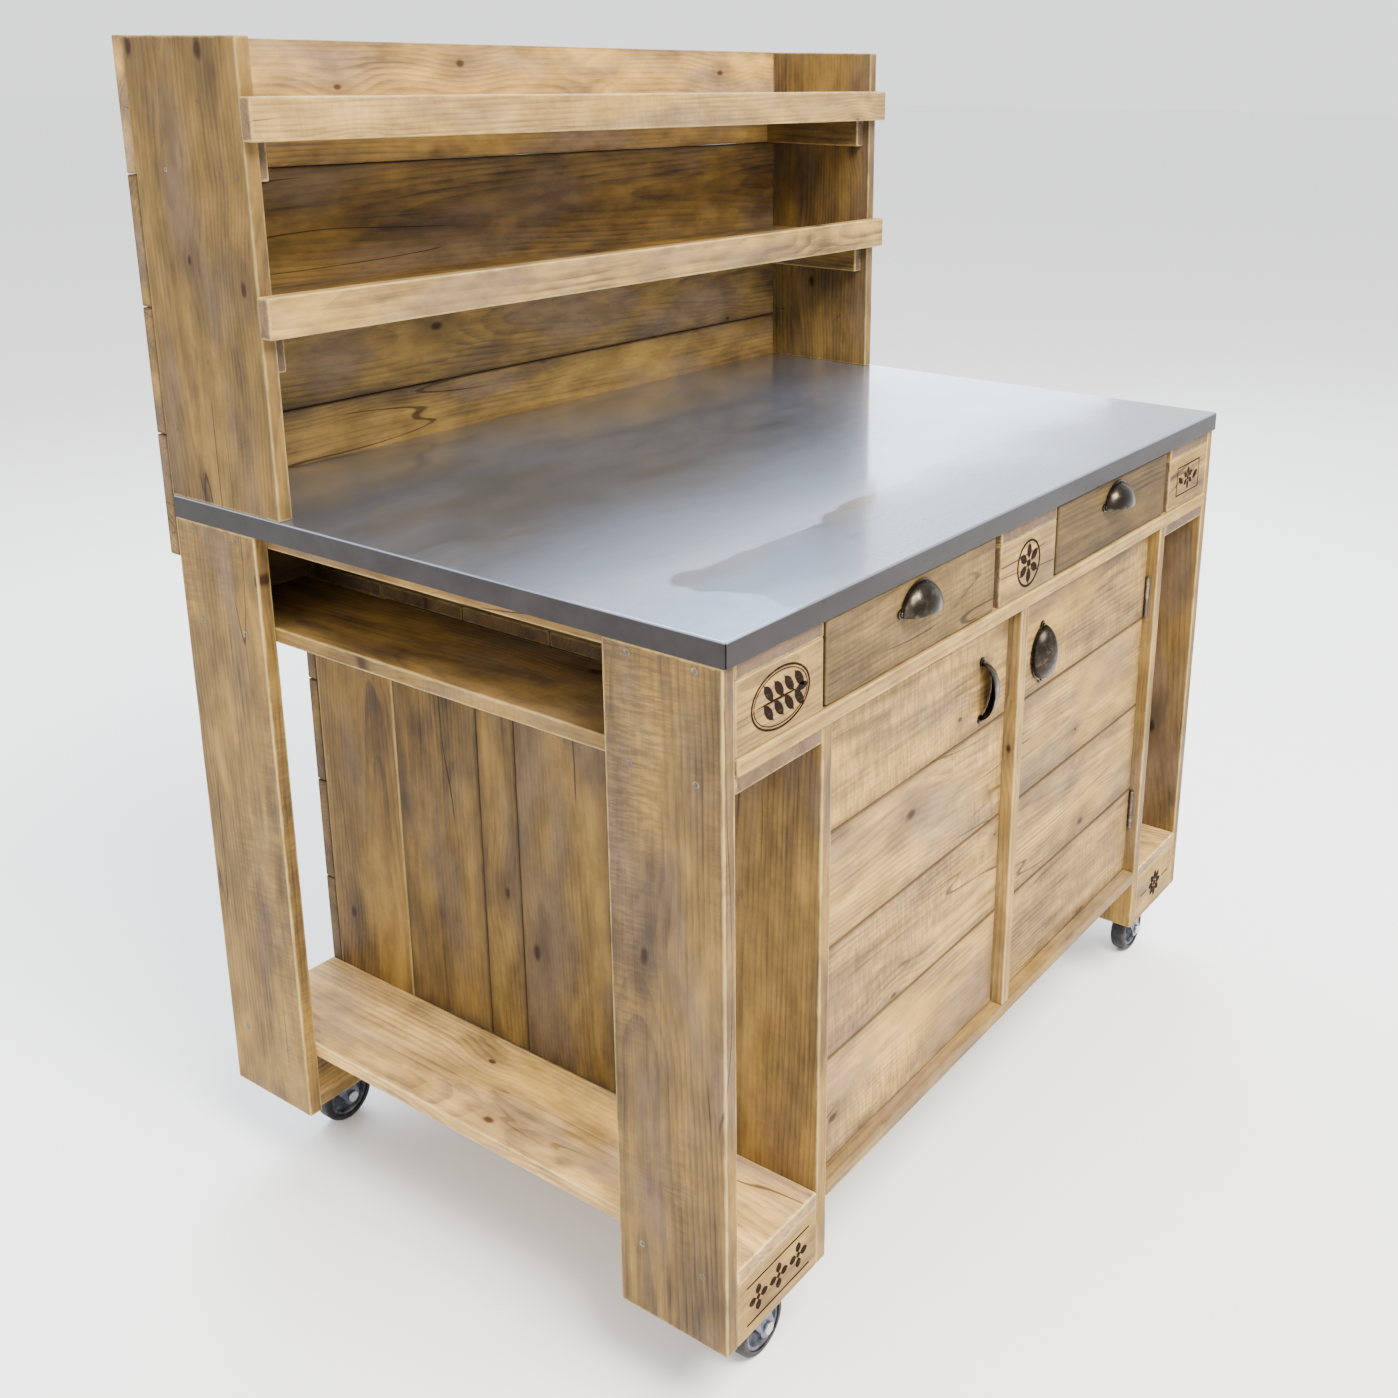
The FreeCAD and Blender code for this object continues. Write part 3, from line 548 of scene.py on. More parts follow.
def ink(name):
    """Dark stencil ink, thin where the wood's fibres show through."""
    g = Graph(name)
    spot = g.spot()
    fibre = g.noise(spot, (60, 300, 500), 3, 0.6)
    tone = g.mix(g.step(fibre, 0.56, 0.72, 0.0, 0.55), (0.010, 0.005, 0.003), (0.10, 0.06, 0.03))
    return g.surface(
        Base_Color=tone, Roughness=0.8, Normal=g.bump(fibre, 0.0002), Specular_IOR_Level=0.05
    )


MAKERS = {
    "pine_light": lambda: (timber, settings("timber").early, settings("timber").late),
    "pine_brown": lambda: (timber, settings("timber").brown_early, settings("timber").brown_late),
    "plywood": lambda: (plywood,),
    "sheet_metal": lambda: (sheet_metal,),
    "bronze": lambda: (worn_metal, settings("metal").bronze, settings("metal").bronze_worn, 0.20, 0.36),
    "zinc": lambda: (worn_metal, settings("metal").zinc, (0.55, 0.56, 0.58), 0.24, 0.46),
    "blued_steel": lambda: (worn_metal, (0.10, 0.115, 0.145), (0.2, 0.215, 0.25), 0.28, 0.5),
    "aged_steel": lambda: (worn_metal, (0.10, 0.085, 0.065), (0.26, 0.23, 0.18), 0.3, 0.5),
    "screw": lambda: (worn_metal, (0.11, 0.095, 0.07), (0.20, 0.18, 0.14), 0.3, 0.5),
    "magnet": lambda: (moulded, (0.60, 0.56, 0.50), (0.45, 0.40, 0.34), 0.42),
    "hub": lambda: (moulded, settings("casters").hub, (0.22, 0.23, 0.25), 0.34),
    "tyre": lambda: (moulded, settings("casters").rubber, (0.07, 0.065, 0.06), 0.55),
    "ink": lambda: (ink,),
}
MADE = {}


def finish_named(name):
    """A material, made the first time that it is asked for."""
    if name not in MADE:
        maker, *values = MAKERS[name]()
        MADE[name] = maker(name, *values)
    return MADE[name]


# ---- boards

TRIANGLES_OF_A_BOARD = 12


def boards_of(node):
    """The lowest and highest corner of each board of a CAD node."""
    mesh = frame["nodes"][node].data
    faces = list(mesh.polygons)
    for start in range(0, len(faces), TRIANGLES_OF_A_BOARD):
        board = faces[start:start + TRIANGLES_OF_A_BOARD]
        corners = [mesh.vertices[index].co for face in board for index in face.vertices]
        low = Vector([min(corner[axis] for corner in corners) for axis in range(3)])
        high = Vector([max(corner[axis] for corner in corners) for axis in range(3)])
        yield low, high


def sawn_board(low, high, draw, look):
    """One board: a box cut into short lengths, its edges eased, with its grain and look written on it."""
    sizes = settings("timber")
    centre = (low + high) / 2
    size = high - low
    order = sorted(range(3), key=lambda axis: -size[axis])
    along = order[0]
    bpy.ops.mesh.primitive_cube_add(size=1, location=centre, scale=size)
    board = added("board")
    edit(board, "EDGE")
    pick(board, "edges", lambda edge: abs((edge.verts[0].co - edge.verts[1].co)[along]) > size[along] / 2)
    bpy.ops.mesh.subdivide(number_cuts=max(1, round(size[along] / sizes.wander_step)))
    bpy.ops.mesh.select_all(action="DESELECT")
    bpy.ops.mesh.edges_select_sharp(sharpness=math.radians(40))
    bpy.ops.mesh.bevel(offset=min(sizes.arris, size[order[2]] / 5), segments=2, affect="EDGES")
    done()
    numbers = [draw.random() for _ in range(3)]
    spots = []
    for vertex in board.data.vertices:
        spots += [(vertex.co - centre)[axis] for axis in order]
    count = len(board.data.vertices)
    rows = {
        "grain": spots,
        "half": [size[axis] / 2 for axis in order] * count,
        "lot": numbers * count,
        "look": list(look) * count,
    }
    for title, values in rows.items():
        board.data.attributes.new(title, "FLOAT_VECTOR", "POINT").data.foreach_set("vector", values)
    return board


def wandering():
    """The texture that moves a board's edges off a straight line."""
    texture = bpy.data.textures.get("wander") or bpy.data.textures.new("wander", "CLOUDS")
    texture.noise_scale = 0.05
    return texture


# how worn its edges are, how rough-sawn it is, and how light it is; for the bottom shelves and the top
# board of the hutch's back the lightness is painted light
LOOKS = {
    "cabinet_back": (0.15, 0.2, 0.9),
    "cabinet_sides": (0.15, 0.15, 0.76),
    "cabinet_floor": (0.3, 0.2, 1.0),
    # painted light: the bottom shelves made brighter, as if lit from the left and above
    "bottom_shelves": (0.7, 0.15, 2.0),
    "drawer_deck": (0.5, 0.1, 0.8),
    "hutch_back": (0.1, 0.1, 1.1),
    # painted light: the top board of the hutch's back made brighter, as if lit by light grazing from above
    "hutch_back_4": (0.2, 0.1, 2.1),
    "hutch_sides": (0.8, 0.15, 0.74),
    "door_left_boards": (0.08, 0.9, 1.25),
    "door_right_boards": (0.08, 0.8, 1.0),
    "drawer_left_front": (0.6, 0.5, 0.48),
    "drawer_right_front": (0.5, 0.5, 0.27),
    "apron_blocks": (0.9, 0.2, 0.85),
    "base_blocks": (0.9, 0.2, 0.85),
    "inner_legs": (0.8, 0.2, 1.12),
    "legs_front": (1.0, 1.0, 0.92),
    "legs_back": (1.0, 0.7, 0.95),
    "back_apron": (0.4, 0.2, 1.0),
    "drawer_guides": (0.2, 0.1, 0.9),
}
PLAIN_LOOK = (0.9, 0.3, 1.0)


def dress(node, material, title="boards"):
    """Makes all the boards of one CAD node as one piece. A board has its own look or its node's."""
    draw = random.Random(node)
    plain = LOOKS.get(node, PLAIN_LOOK)
    boards = [
        sawn_board(low, high, draw, LOOKS.get(f"{node}_{number}", plain))
        for number, (low, high) in enumerate(boards_of(node), start=1)
    ]
    piece = joined(f"{node}_{title}", boards)
    wander = settings("timber").wander
    finish(piece, "DISPLACE", texture=wandering(), strength=wander, mid_level=0.5)
    smooth(piece, 60)
    finish(piece, "WEIGHTED_NORMAL", weight=100, keep_sharp=True)
    place(piece, material, node)


class BoardsOfNodes:
    """Shared by the operators that dress CAD nodes in boards."""

    nodes = {}

    def execute(self, context):
        for material, names in self.nodes.items():
            for name in names:
                dress(name, material)
        return {"FINISHED"}


class BENCH_OT_frame(BoardsOfNodes, bpy.types.Operator):
    """Saw the legs, rails, bearers, blocks and caster pads"""

    bl_idname = "bench.frame"
    bl_label = "Frame"
    nodes = {
        "pine_brown": ("legs_front", "legs_back", "inner_legs", "back_apron", "top_bearers", "caster_pads"),
        "pine_light": ("apron_blocks", "base_blocks", "front_rail", "centre_stile"),
    }


class BENCH_OT_cabinet(BoardsOfNodes, bpy.types.Operator):
    """Saw the cupboard's sides, back and floor, the shelves of the bays and the drawer deck"""

    bl_idname = "bench.cabinet"
    bl_label = "Cabinet"
    nodes = {
        "pine_brown": ("cabinet_sides", "cabinet_back", "side_shelves", "drawer_deck", "drawer_guides"),
        "pine_light": ("cabinet_floor", "bottom_shelves"),
    }


class BENCH_OT_hutch(BoardsOfNodes, bpy.types.Operator):
    """Saw the hutch's sides, back, shelves, lips and cleats"""

    bl_idname = "bench.hutch"
    bl_label = "Hutch"
    nodes = {
        "pine_brown": ("hutch_sides", "hutch_back", "hutch_shelves", "hutch_cleats"),
        "pine_light": ("hutch_lips",),
    }


class BENCH_OT_doors(BoardsOfNodes, bpy.types.Operator):
    """Saw the doors' planks and battens"""

    bl_idname = "bench.doors"
    bl_label = "Doors"
    nodes = {
        "pine_light": ("door_left_boards", "door_right_boards"),
        "pine_brown": ("door_left_battens", "door_right_battens"),
    }


class BENCH_OT_drawers(BoardsOfNodes, bpy.types.Operator):
    """Saw the drawers' fronts, walls and bottoms"""

    bl_idname = "bench.drawers"
    bl_label = "Drawers"
    nodes = {
        "pine_light": ("drawer_left_front", "drawer_right_front"),
        "plywood": (
            "drawer_left_box", "drawer_right_box", "drawer_left_bottom", "drawer_right_bottom",
        ),
    }


# ---- worktop


TOP_MARGIN = 0.02


class BENCH_OT_worktop(bpy.types.Operator):
    """Fold the sheet metal over the worktop's board"""

    bl_idname = "bench.worktop"
    bl_label = "Worktop"

    def execute(self, context):
        dress("worktop_board", "plywood", "core")
        metal = settings("metal")
        low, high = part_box("worktop_sheet")
        size = high - low
        fold = metal.fold
        bpy.ops.mesh.primitive_plane_add(size=1, location=(0, 0, high.z))
        bpy.context.object.scale = (size.x - 2 * fold, size.y - 2 * fold, 1)
        sheet = added("worktop_folded_sheet")
        edit(sheet, "EDGE")
        for axis in (0, 1):
            for side in (-1, 1):
                self.fold_down(sheet, axis, side, size)
        self.divide_top(sheet, low, high)
        done()
        finish(sheet, "SOLIDIFY", thickness=metal.gauge, offset=-1.0)
        ripples = bpy.data.textures.new("ripples", "CLOUDS")
        ripples.noise_scale = 0.17
        group = sheet.vertex_groups.new(name="top")
        inside = [
            vertex.index for vertex in sheet.data.vertices
            if vertex.co.z > high.z - 0.0015 and all(
                low[way] + TOP_MARGIN < vertex.co[way] < high[way] - TOP_MARGIN for way in (0, 1)
            )
        ]
        group.add(inside, 1.0, "REPLACE")
        finish(
            sheet, "DISPLACE", texture=ripples, vertex_group="top", direction="Z",
            strength=metal.ripple, mid_level=0.5,
        )
        sheet.vertex_groups.clear()
        smooth(sheet)
        finish(sheet, "WEIGHTED_NORMAL", weight=60, keep_sharp=True)
        place(sheet, "sheet_metal", "worktop_sheet")
        return {"FINISHED"}

    def fold_down(self, sheet, axis, side, size):
        """Folds one edge of the top down in an arc, its ends stopping short of the corner seams."""
        metal = settings("metal")
        fold = metal.fold
        edge_at = side * (size[axis] / 2 - fold)
        pick(sheet, "edges", lambda edge: all(abs(vert.co[axis] - edge_at) < 1e-6 for vert in edge.verts))
        other = 1 - axis
        reach = size[other] - 2 * fold
        steps = 5
        for number in range(1, steps + 1):
            old, new = (math.pi / 2 * turn / steps for turn in (number - 1, number))
            move = [0, 0, fold * (math.cos(new) - math.cos(old))]
            move[axis] = side * fold * (math.sin(new) - math.sin(old))
            bpy.ops.mesh.extrude_edges_move(TRANSFORM_OT_translate={"value": move})
            wider = size[other] - 2 * fold + 2 * (fold - metal.seam) * math.sin(new)
            stretch = [1, 1, 1]
            stretch[other] = wider / reach
            scale(*stretch)
            reach = wider
        bpy.ops.mesh.extrude_edges_move(TRANSFORM_OT_translate={"value": (0, 0, fold - size.z)})

    def divide_top(self, sheet, low, high):
        """Insets the top and divides its middle, so that it can ripple."""
        bpy.ops.mesh.select_mode(type="FACE")
        pick(sheet, "faces", lambda face: face.normal.z > 0.99 and face.calc_area() > 0.5)
        border = 0.012
        bpy.ops.mesh.inset(thickness=border)
        for axis, cuts in enumerate((40, 28)):
            span = high[axis] - low[axis] - 2 * TOP_MARGIN
            for number in range(cuts + 1):
                spot = Vector((0, 0, high.z))
                spot[axis] = low[axis] + TOP_MARGIN + span * number / cuts
                normal = Vector((0, 0, 0))
                normal[axis] = 1.0
                pick(sheet, "faces", lambda face: face.normal.z > 0.99 and all(
                    abs(middle(face)[way]) < high[way] - border - 0.0015 for way in (0, 1)
                ))
                bpy.ops.mesh.bisect(plane_co=spot, plane_no=normal)


# ---- hardware


def refined(node, name, width):
    """A copy of a CAD node with its triangles merged and its sharp edges eased."""
    piece = copied(frame["nodes"][node], name)
    edit(piece)
    pick_all()
    bpy.ops.mesh.remove_doubles(threshold=SAME_SPOT)
    bpy.ops.mesh.dissolve_limited(angle_limit=math.radians(1))
    done()
    ease(piece, width, degrees=40)
    smooth(piece)
    return piece


def pull_model():
    """A cup pull round the origin: a dome over an open mouth, with a flange and two pinned ears."""
    bpy.ops.mesh.primitive_uv_sphere_add(segments=64, ring_count=32, radius=1)
    cup = added("cup")
    edit(cup, "VERT")
    pick_all()
    bpy.ops.mesh.bisect(plane_co=(0, 0, 0), plane_no=(0, 0, 1), clear_inner=True)
    pick_all()
    bpy.ops.mesh.bisect(plane_co=(0, 0, 0), plane_no=(0, 1, 0), clear_outer=True)
    pick_all()
    scale(0.0355, 0.0200, 0.0305)
    bpy.ops.mesh.select_mode(type="EDGE")
    pick(cup, "edges", lambda edge: edge.is_boundary and middle(edge).y > -1e-5)
    bpy.ops.mesh.extrude_edges_move()
    scale(1.085, 1, 1.11)
    done()
    outward(cup)
    finish(cup, "SOLIDIFY", thickness=0.0015, offset=-1.0, use_even_offset=True)
    ease(cup, 0.0005, degrees=50)
    parts = [cup]
    for side in (-1, 1):
        spot = Vector((side * 0.0372, 0, 0.0045))
        ear = cylinder("ear", spot, 0.0056, 0.0022, "Y", 32)
        ease(ear, 0.0005)
        pin = cylinder("pin", spot + Vector((0, -0.0018, 0)), 0.0026, 0.0026, "Y", 24)
        ease(pin, 0.0011, 3)
        parts += [ear, pin]
    model = joined("pull_model", parts)
    model.data.transform(Matrix.Translation((0, -0.0016, 0)))
    smooth(model)
    return model


class BENCH_OT_pulls(bpy.types.Operator):
    """Cast the four cup pulls"""

    bl_idname = "bench.pulls"
    bl_label = "Cup pulls"

    def execute(self, context):
        model = pull_model()
        quarter = math.pi / 2
        turns = {"drawer_left": 0, "drawer_right": 0, "door_left": quarter, "door_right": -quarter}
        for owner, turn in turns.items():
            node = owner + "_pull"
            low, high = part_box(node)
            centre = (low + high) / 2
            mouth_x = {"door_left": low.x, "door_right": high.x}.get(owner, centre.x)
            mouth_z = centre.z if owner.startswith("door") else low.z
            spot = Matrix.Translation((mouth_x, high.y, mouth_z))
            pull = copied(model, owner + "_cup_pull", spot @ Matrix.Rotation(turn, 4, "Y"))
            smooth(pull)
            place(pull, "bronze", node)
        bpy.data.objects.remove(model)
        return {"FINISHED"}


class BENCH_OT_hinges(bpy.types.Operator):
    """Ease the hinges, their pins, the strike plates and the magnetic catches"""

    bl_idname = "bench.hinges"
    bl_label = "Hinges and catches"

    def execute(self, context):
        pieces = {
            "frame_hinges": ("frame_hinge_leaves", "zinc"),
            "door_left_fittings": ("door_left_hinge_leaves", "zinc"),
            "door_right_fittings": ("door_right_hinge_leaves", "zinc"),
            "door_catches": ("magnetic_catches", "magnet"),
        }
        for node, (name, slot) in pieces.items():
            piece = refined(node, name, 0.0002 if slot == "zinc" else 0.0012)
            place(piece, "aged_steel" if slot == "zinc" else slot, node)
        return {"FINISHED"}


def screw_model(radius, shank):
    """A countersunk screw along +X with a recessed head at the origin."""
    head = cylinder("screw", Vector((-0.0006, 0, 0)), radius, 0.0016, "X", 24)
    edit(head)
    pick(head, "faces", lambda face: face.normal.x > 0.9)
    bpy.ops.mesh.inset(thickness=radius * 0.42)
    pull_faces(x=-0.0009)
    scale(1, 0.7, 0.7)
    pick(head, "faces", lambda face: face.normal.x < -0.9 and middle(face).x < -0.001)
    pull_faces(x=-0.0025)
    scale(1, 0.5, 0.5)
    pull_faces(x=-shank)
    done()
    ease(head, 0.0003, 1, 50)
    smooth(head, 35)
    return head


def driven(model, face, proud, spots):
    """Copies of a screw driven into the face at this x, each at its y and z, standing this proud."""
    side = 1 if face > 0 else -1
    turn = Matrix.Rotation(0 if side > 0 else math.pi, 4, "Z")
    return [
        copied(model, "screw_copy", Matrix.Translation((face + side * proud, *spot)) @ turn)
        for spot in spots
    ]


HUTCH_SCREWS = (
    (0.403, 1.346), (0.283, 1.345), (0.352, 1.272), (0.227, 1.269), (0.313, 1.067), (0.384, 0.981),
    (0.265, 0.982),
)
SCREW_RADIUS = 0.004


class BENCH_OT_screws(bpy.types.Operator):
    """Drive the screws through the legs into the shelves and bearers"""

    bl_idname = "bench.screws"
    bl_label = "Screws"

    def execute(self, context):
        rims = sorted({
            (round(vertex.co.x, 4), round(vertex.co.y, 3), round(vertex.co.z, 3))
            for vertex in frame["nodes"]["frame_screws"].data.vertices
        })
        model = screw_model(SCREW_RADIUS, 0.03)
        screws = []
        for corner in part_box("frame_screws"):
            rim = [spot for spot in rims if abs(spot[0] - corner.x) < 1e-4]
            screws += driven(model, corner.x, 0.0003, middles(rim))
        bpy.data.objects.remove(model)
        piece = joined("leg_screws", screws)
        place(piece, "screw", "frame_screws")
        self.hutch_screws()
        return {"FINISHED"}

    def hutch_screws(self):
        """Small screws, nearly flush, that hold the hutch's shelves, cleats and back."""
        model = screw_model(0.0026, 0.02)
        screws = []
        for low, high in boards_of("hutch_sides"):
            screws += driven(model, high.x if low.x > 0 else low.x, 0.0002, HUTCH_SCREWS)
        bpy.data.objects.remove(model)
        piece = joined("hutch_side_screws", screws)
        piece.data.materials.append(finish_named("aged_steel"))
        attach(piece, "root")


def middles(rim):
    """The middles (y, z) of the round heads that these rim points belong to."""
    heads = []
    for _, y, z in rim:
        for head in heads:
            if all(abs(value - other) < 2.5 * SCREW_RADIUS for value, other in zip(head[0], (y, z))):
                head.append((y, z))
                break
        else:
            heads.append([(y, z)])
    return [[(min(values) + max(values)) / 2 for values in zip(*head)] for head in heads]


# ---- casters


def tyre_model(low, high):
    """A tyre between two corners: a ring with round shoulders."""
    centre = (low + high) / 2
    size = high - low
    radius = size.z / 2
    tyre = cylinder("tyre", centre, radius, size.y, "Y", 72)
    sizes = settings("casters")
    edit(tyre)
    pick(tyre, "faces", lambda face: abs(face.normal.y) > 0.9)
    bpy.ops.mesh.inset(thickness=sizes.tread, use_individual=True)
    pick(tyre, "faces", lambda face: abs(face.normal.y) > 0.9 and len(face.verts) > 8)
    bpy.ops.mesh.delete(type="FACE")
    bpy.ops.mesh.select_mode(type="EDGE")
    pick(tyre, "edges", lambda edge: edge.is_boundary)
    bpy.ops.mesh.bridge_edge_loops()

    def on_shoulder(edge):
        """Whether an edge runs round the outer rim of one side."""
        first, second = (vert.co - centre for vert in edge.verts)
        round_rim = all(abs(math.hypot(spot.x, spot.z) - radius) < 2e-4 for spot in (first, second))
        return round_rim and abs(first.y - second.y) < 1e-5 and abs(first.y) > size.y / 4

    pick(tyre, "edges", on_shoulder)
    bpy.ops.mesh.bevel(offset=sizes.shoulder, segments=5, affect="EDGES")
    done()
    outward(tyre)
    return tyre


def wheel_model(low, high):
    """A moulded wheel body between two corners: a rim, a dished web and a hub round the axle."""
    centre = (low + high) / 2
    size = high - low
    radius = size.x / 2
    rim_half, web_half, hub_half, hub_radius = 0.010, 0.0035, size.y / 2, 0.010
    wheel = cylinder("wheel", centre, radius, rim_half * 2, "Y", 72)
    edit(wheel)
    for side in (-1, 1):
        pick(wheel, "faces", lambda face: face.normal.y * side > 0.9)
        bpy.ops.mesh.inset(thickness=0.004)
        pull_faces(y=side * (web_half - rim_half))
        scale(0.95, 1, 0.95, centre)
        bpy.ops.mesh.inset(thickness=radius * 0.95 - 0.004 - hub_radius - 0.0015)
        pull_faces(y=side * (hub_half - web_half))
        scale(0.9, 1, 0.9, centre)
        bpy.ops.mesh.inset(thickness=0.0045)
        pull_faces(y=-side * 0.0012)
    done()
    ease(wheel, 0.0009, 3, 40)
    return wheel


class BENCH_OT_casters(bpy.types.Operator):
    """Build the four swivel casters: plates, forks, axles, wheels and tyres"""

    bl_idname = "bench.casters"
    bl_label = "Casters"

    def execute(self, context):
        plates = refined("caster_plates", "caster_mounting_plates", settings("metal").ease)
        place(plates, "zinc", "caster_plates")
        for end in ("front", "back"):
            for side in ("left", "right"):
                self.caster(f"{end}_{side}")
        return {"FINISHED"}

    def caster(self, corner):
        """The moving pieces of one caster."""
        pressed = (("fork", "caster_fork", "blued_steel"), ("axle", "wheel_bolt", "zinc"))
        for part, title, material in pressed:
            node = f"{part}_{corner}"
            piece = refined(node, f"{title}_{corner}", settings("metal").ease)
            place(piece, material, node)
        makers = {
            "wheel": (wheel_model, "wheel_body", "hub"),
            "tyre": (tyre_model, "tyre_ring", "tyre"),
        }
        for part, (maker, title, material) in makers.items():
            node = f"{part}_{corner}"
            piece = maker(*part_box(node))
            piece.name = f"{title}_{corner}"
            smooth(piece)
            place(piece, material, node)


# ---- stencilled marks


UPRIGHT = (math.pi / 2, 0, 0)


def flat_disc(x, z, half_width, half_height, sides=48):
    """A flat oval facing -Y, at x and z in the plane y = 0."""
    bpy.ops.mesh.primitive_circle_add(
        vertices=sides, radius=1, fill_type="NGON", location=(x, 0, z), rotation=UPRIGHT
    )
    bpy.context.object.scale = (half_width, half_height, 1)
    return added("mark")


def ring(x, z, half_width, half_height, thick):
    """A flat oval ring."""
    shape = flat_disc(x, z, half_width, half_height, sides=72)
    edit(shape)
    pick_all()
    bpy.ops.mesh.inset(thickness=thick)
    bpy.ops.mesh.delete(type="FACE")
    done()
    return shape


def leaf(x, z, long, wide, turn):
    """A flat pointed leaf, its long side turned from level."""
    shape = flat_disc(0, 0, long / 2, wide / 2, sides=24)
    edit(shape, "VERT")
    for side in (-1, 1):
        pick(shape, "verts", lambda vert: vert.co.x * side > long * 0.498)
        bpy.ops.transform.translate(value=(side * long * 0.14, 0, 0))
    done()
    shape.data.transform(Matrix.Translation((x, 0, z)) @ Matrix.Rotation(-turn, 4, "Y"))
    return shape


def bar(x, z, long, thick):
    """A flat level bar."""
    bpy.ops.mesh.primitive_plane_add(size=1, location=(x, 0, z), rotation=UPRIGHT)
    bpy.context.object.scale = (long, thick, 1)
    return added("mark")


def sprig(x, z, tall, leaves, turn):
    """Pairs of leaves up a stem, the stem turned from upright."""
    parts = []
    for number in range(leaves):
        up = tall * (number / leaves - 0.42)
        for side in (-1, 1):
            angle = side * math.radians(38)
            reach = tall * 0.19
            parts.append(leaf(
                side * reach * math.cos(angle), up + reach * abs(math.sin(angle)),
                tall * 0.31, tall * 0.15, side * angle,
            ))
    parts.append(leaf(0, tall * 0.52, tall * 0.24, tall * 0.13, math.pi / 2))
    stem = leaf(0, -tall * 0.08, tall * 0.8, tall * 0.035, math.pi / 2)
    stem.data.transform(Matrix.Translation((0, -0.0002, 0)))
    parts.append(stem)
    shape = joined("sprig", parts)
    shape.data.transform(Matrix.Translation((x, 0, z)) @ Matrix.Rotation(turn, 4, "Y"))
    return shape


def flower(x, z, reach, petals):
    """Petals round a small middle."""
    parts = [flat_disc(0, 0, reach * 0.2, reach * 0.2)]
    away = reach * 0.66
    wide = reach * (0.46 if petals > 5 else 0.62)
    for number in range(petals):
        angle = 2 * math.pi * number / petals + math.pi / 2
        parts.append(leaf(away * math.cos(angle), away * math.sin(angle), reach * 0.7, wide, angle))
    shape = joined("flower", parts)
    shape.data.transform(Matrix.Translation((x, 0, z)))
    return shape


def stencil(name, face, parts):
    """Marks made one thin layer of ink on a board's front face."""
    mark = joined(name, parts)
    edit(mark)
    pick_all()
    pull_faces(y=-0.0012)
    done()
    mark.data.transform(Matrix.Translation((0, face + 0.0008, 0)))
    outward(mark)
    mark.data.materials.append(finish_named("ink"))
    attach(mark, "root")
    return mark


class BENCH_OT_marks(bpy.types.Operator):
    """Stencil plain leaf and flower motifs on the five blocks of the front"""

    bl_idname = "bench.marks"
    bl_label = "Stencilled motifs"

    def execute(self, context):
        aprons = sorted(boards_of("apron_blocks"), key=lambda board: board[0].x)
        bases = [board for board in boards_of("base_blocks") if board[0].y < 0]
        bases.sort(key=lambda board: board[0].x)
        spots = [((low + high) / 2, low.y) for low, high in aprons + bases]
        (left, face), (centre, _), (right, _), (base_left, _), (base_right, _) = spots
        oval = [
            ring(left.x, left.z, 0.0475, 0.0315, 0.0022),
            ring(left.x, left.z, 0.0435, 0.0275, 0.0010),
            sprig(left.x, left.z, 0.066, 4, math.pi / 2),
        ]
        stencil("left_block_motif", face, oval)
        rosette = [ring(centre.x, centre.z, 0.030, 0.030, 0.0030), flower(centre.x, centre.z, 0.024, 6)]
        stencil("centre_block_motif", face, rosette)
        label = [bar(right.x, right.z + rise, 0.084, 0.0016) for rise in (-0.021, 0.021)]
        label += [bar(right.x + side * 0.0412, right.z, 0.0016, 0.0404) for side in (-1, 1)]
        label.append(flower(right.x, right.z, 0.016, 6))
        label += [leaf(right.x + side * 0.027, right.z, 0.018, 0.009, side * 0.5) for side in (-1, 1)]
        stencil("right_block_motif", face, label)
        row = [flower(base_left.x + step * 0.036, base_left.z, 0.0152, 4) for step in (-1, 0, 1)]
        row += [bar(base_left.x, base_left.z + rise, 0.112, 0.0018) for rise in (-0.024, 0.024)]
        stencil("left_base_motif", face, row)
        bloom = [flower(base_right.x, base_right.z, 0.021, 8)]
        bloom += [bar(base_right.x + side * 0.041, base_right.z, 0.026, 0.0018) for side in (-1, 1)]
        stencil("right_base_motif", face, bloom)
        return {"FINISHED"}


# ---- stage


# name, place, target, size, share of the key light's power, tint
LAMPS = (
    ("key", (-0.9, -3.3, 4.9), (0, 0, 0.6), (3.0, 2.4), 1.0, (1.0, 0.96, 0.90)),
    ("side", (-4.4, -0.4, 2.4), (0, 0, 0.7), (2.4, 2.0), 0.05, (1, 1, 1)),
    ("window", (3.0, 1.7, 1.45), (3.0, 0, 1.45), (4.0, 0.9), 0.05, (0.78, 0.89, 1.0)),
    ("ceiling", (1.3, 2.3, 3.3), (0, -0.1, 0.9), (3.6, 1.6), 0.25, (0.82, 0.91, 1.0)),
)


def area_light(name, spot, target, size, power, tint):
    """A rectangular light at a spot, facing a target."""
    bpy.ops.object.light_add(type="AREA", location=spot)
    lamp = bpy.context.object
    lamp.name = name
    lamp.data.shape = "RECTANGLE"
    lamp.data.size, lamp.data.size_y = size
    lamp.data.energy = power
    lamp.data.color = tint
    lamp.rotation_euler = (Vector(target) - Vector(spot)).to_track_quat("-Z", "Y").to_euler()
    lamp.visible_camera = False


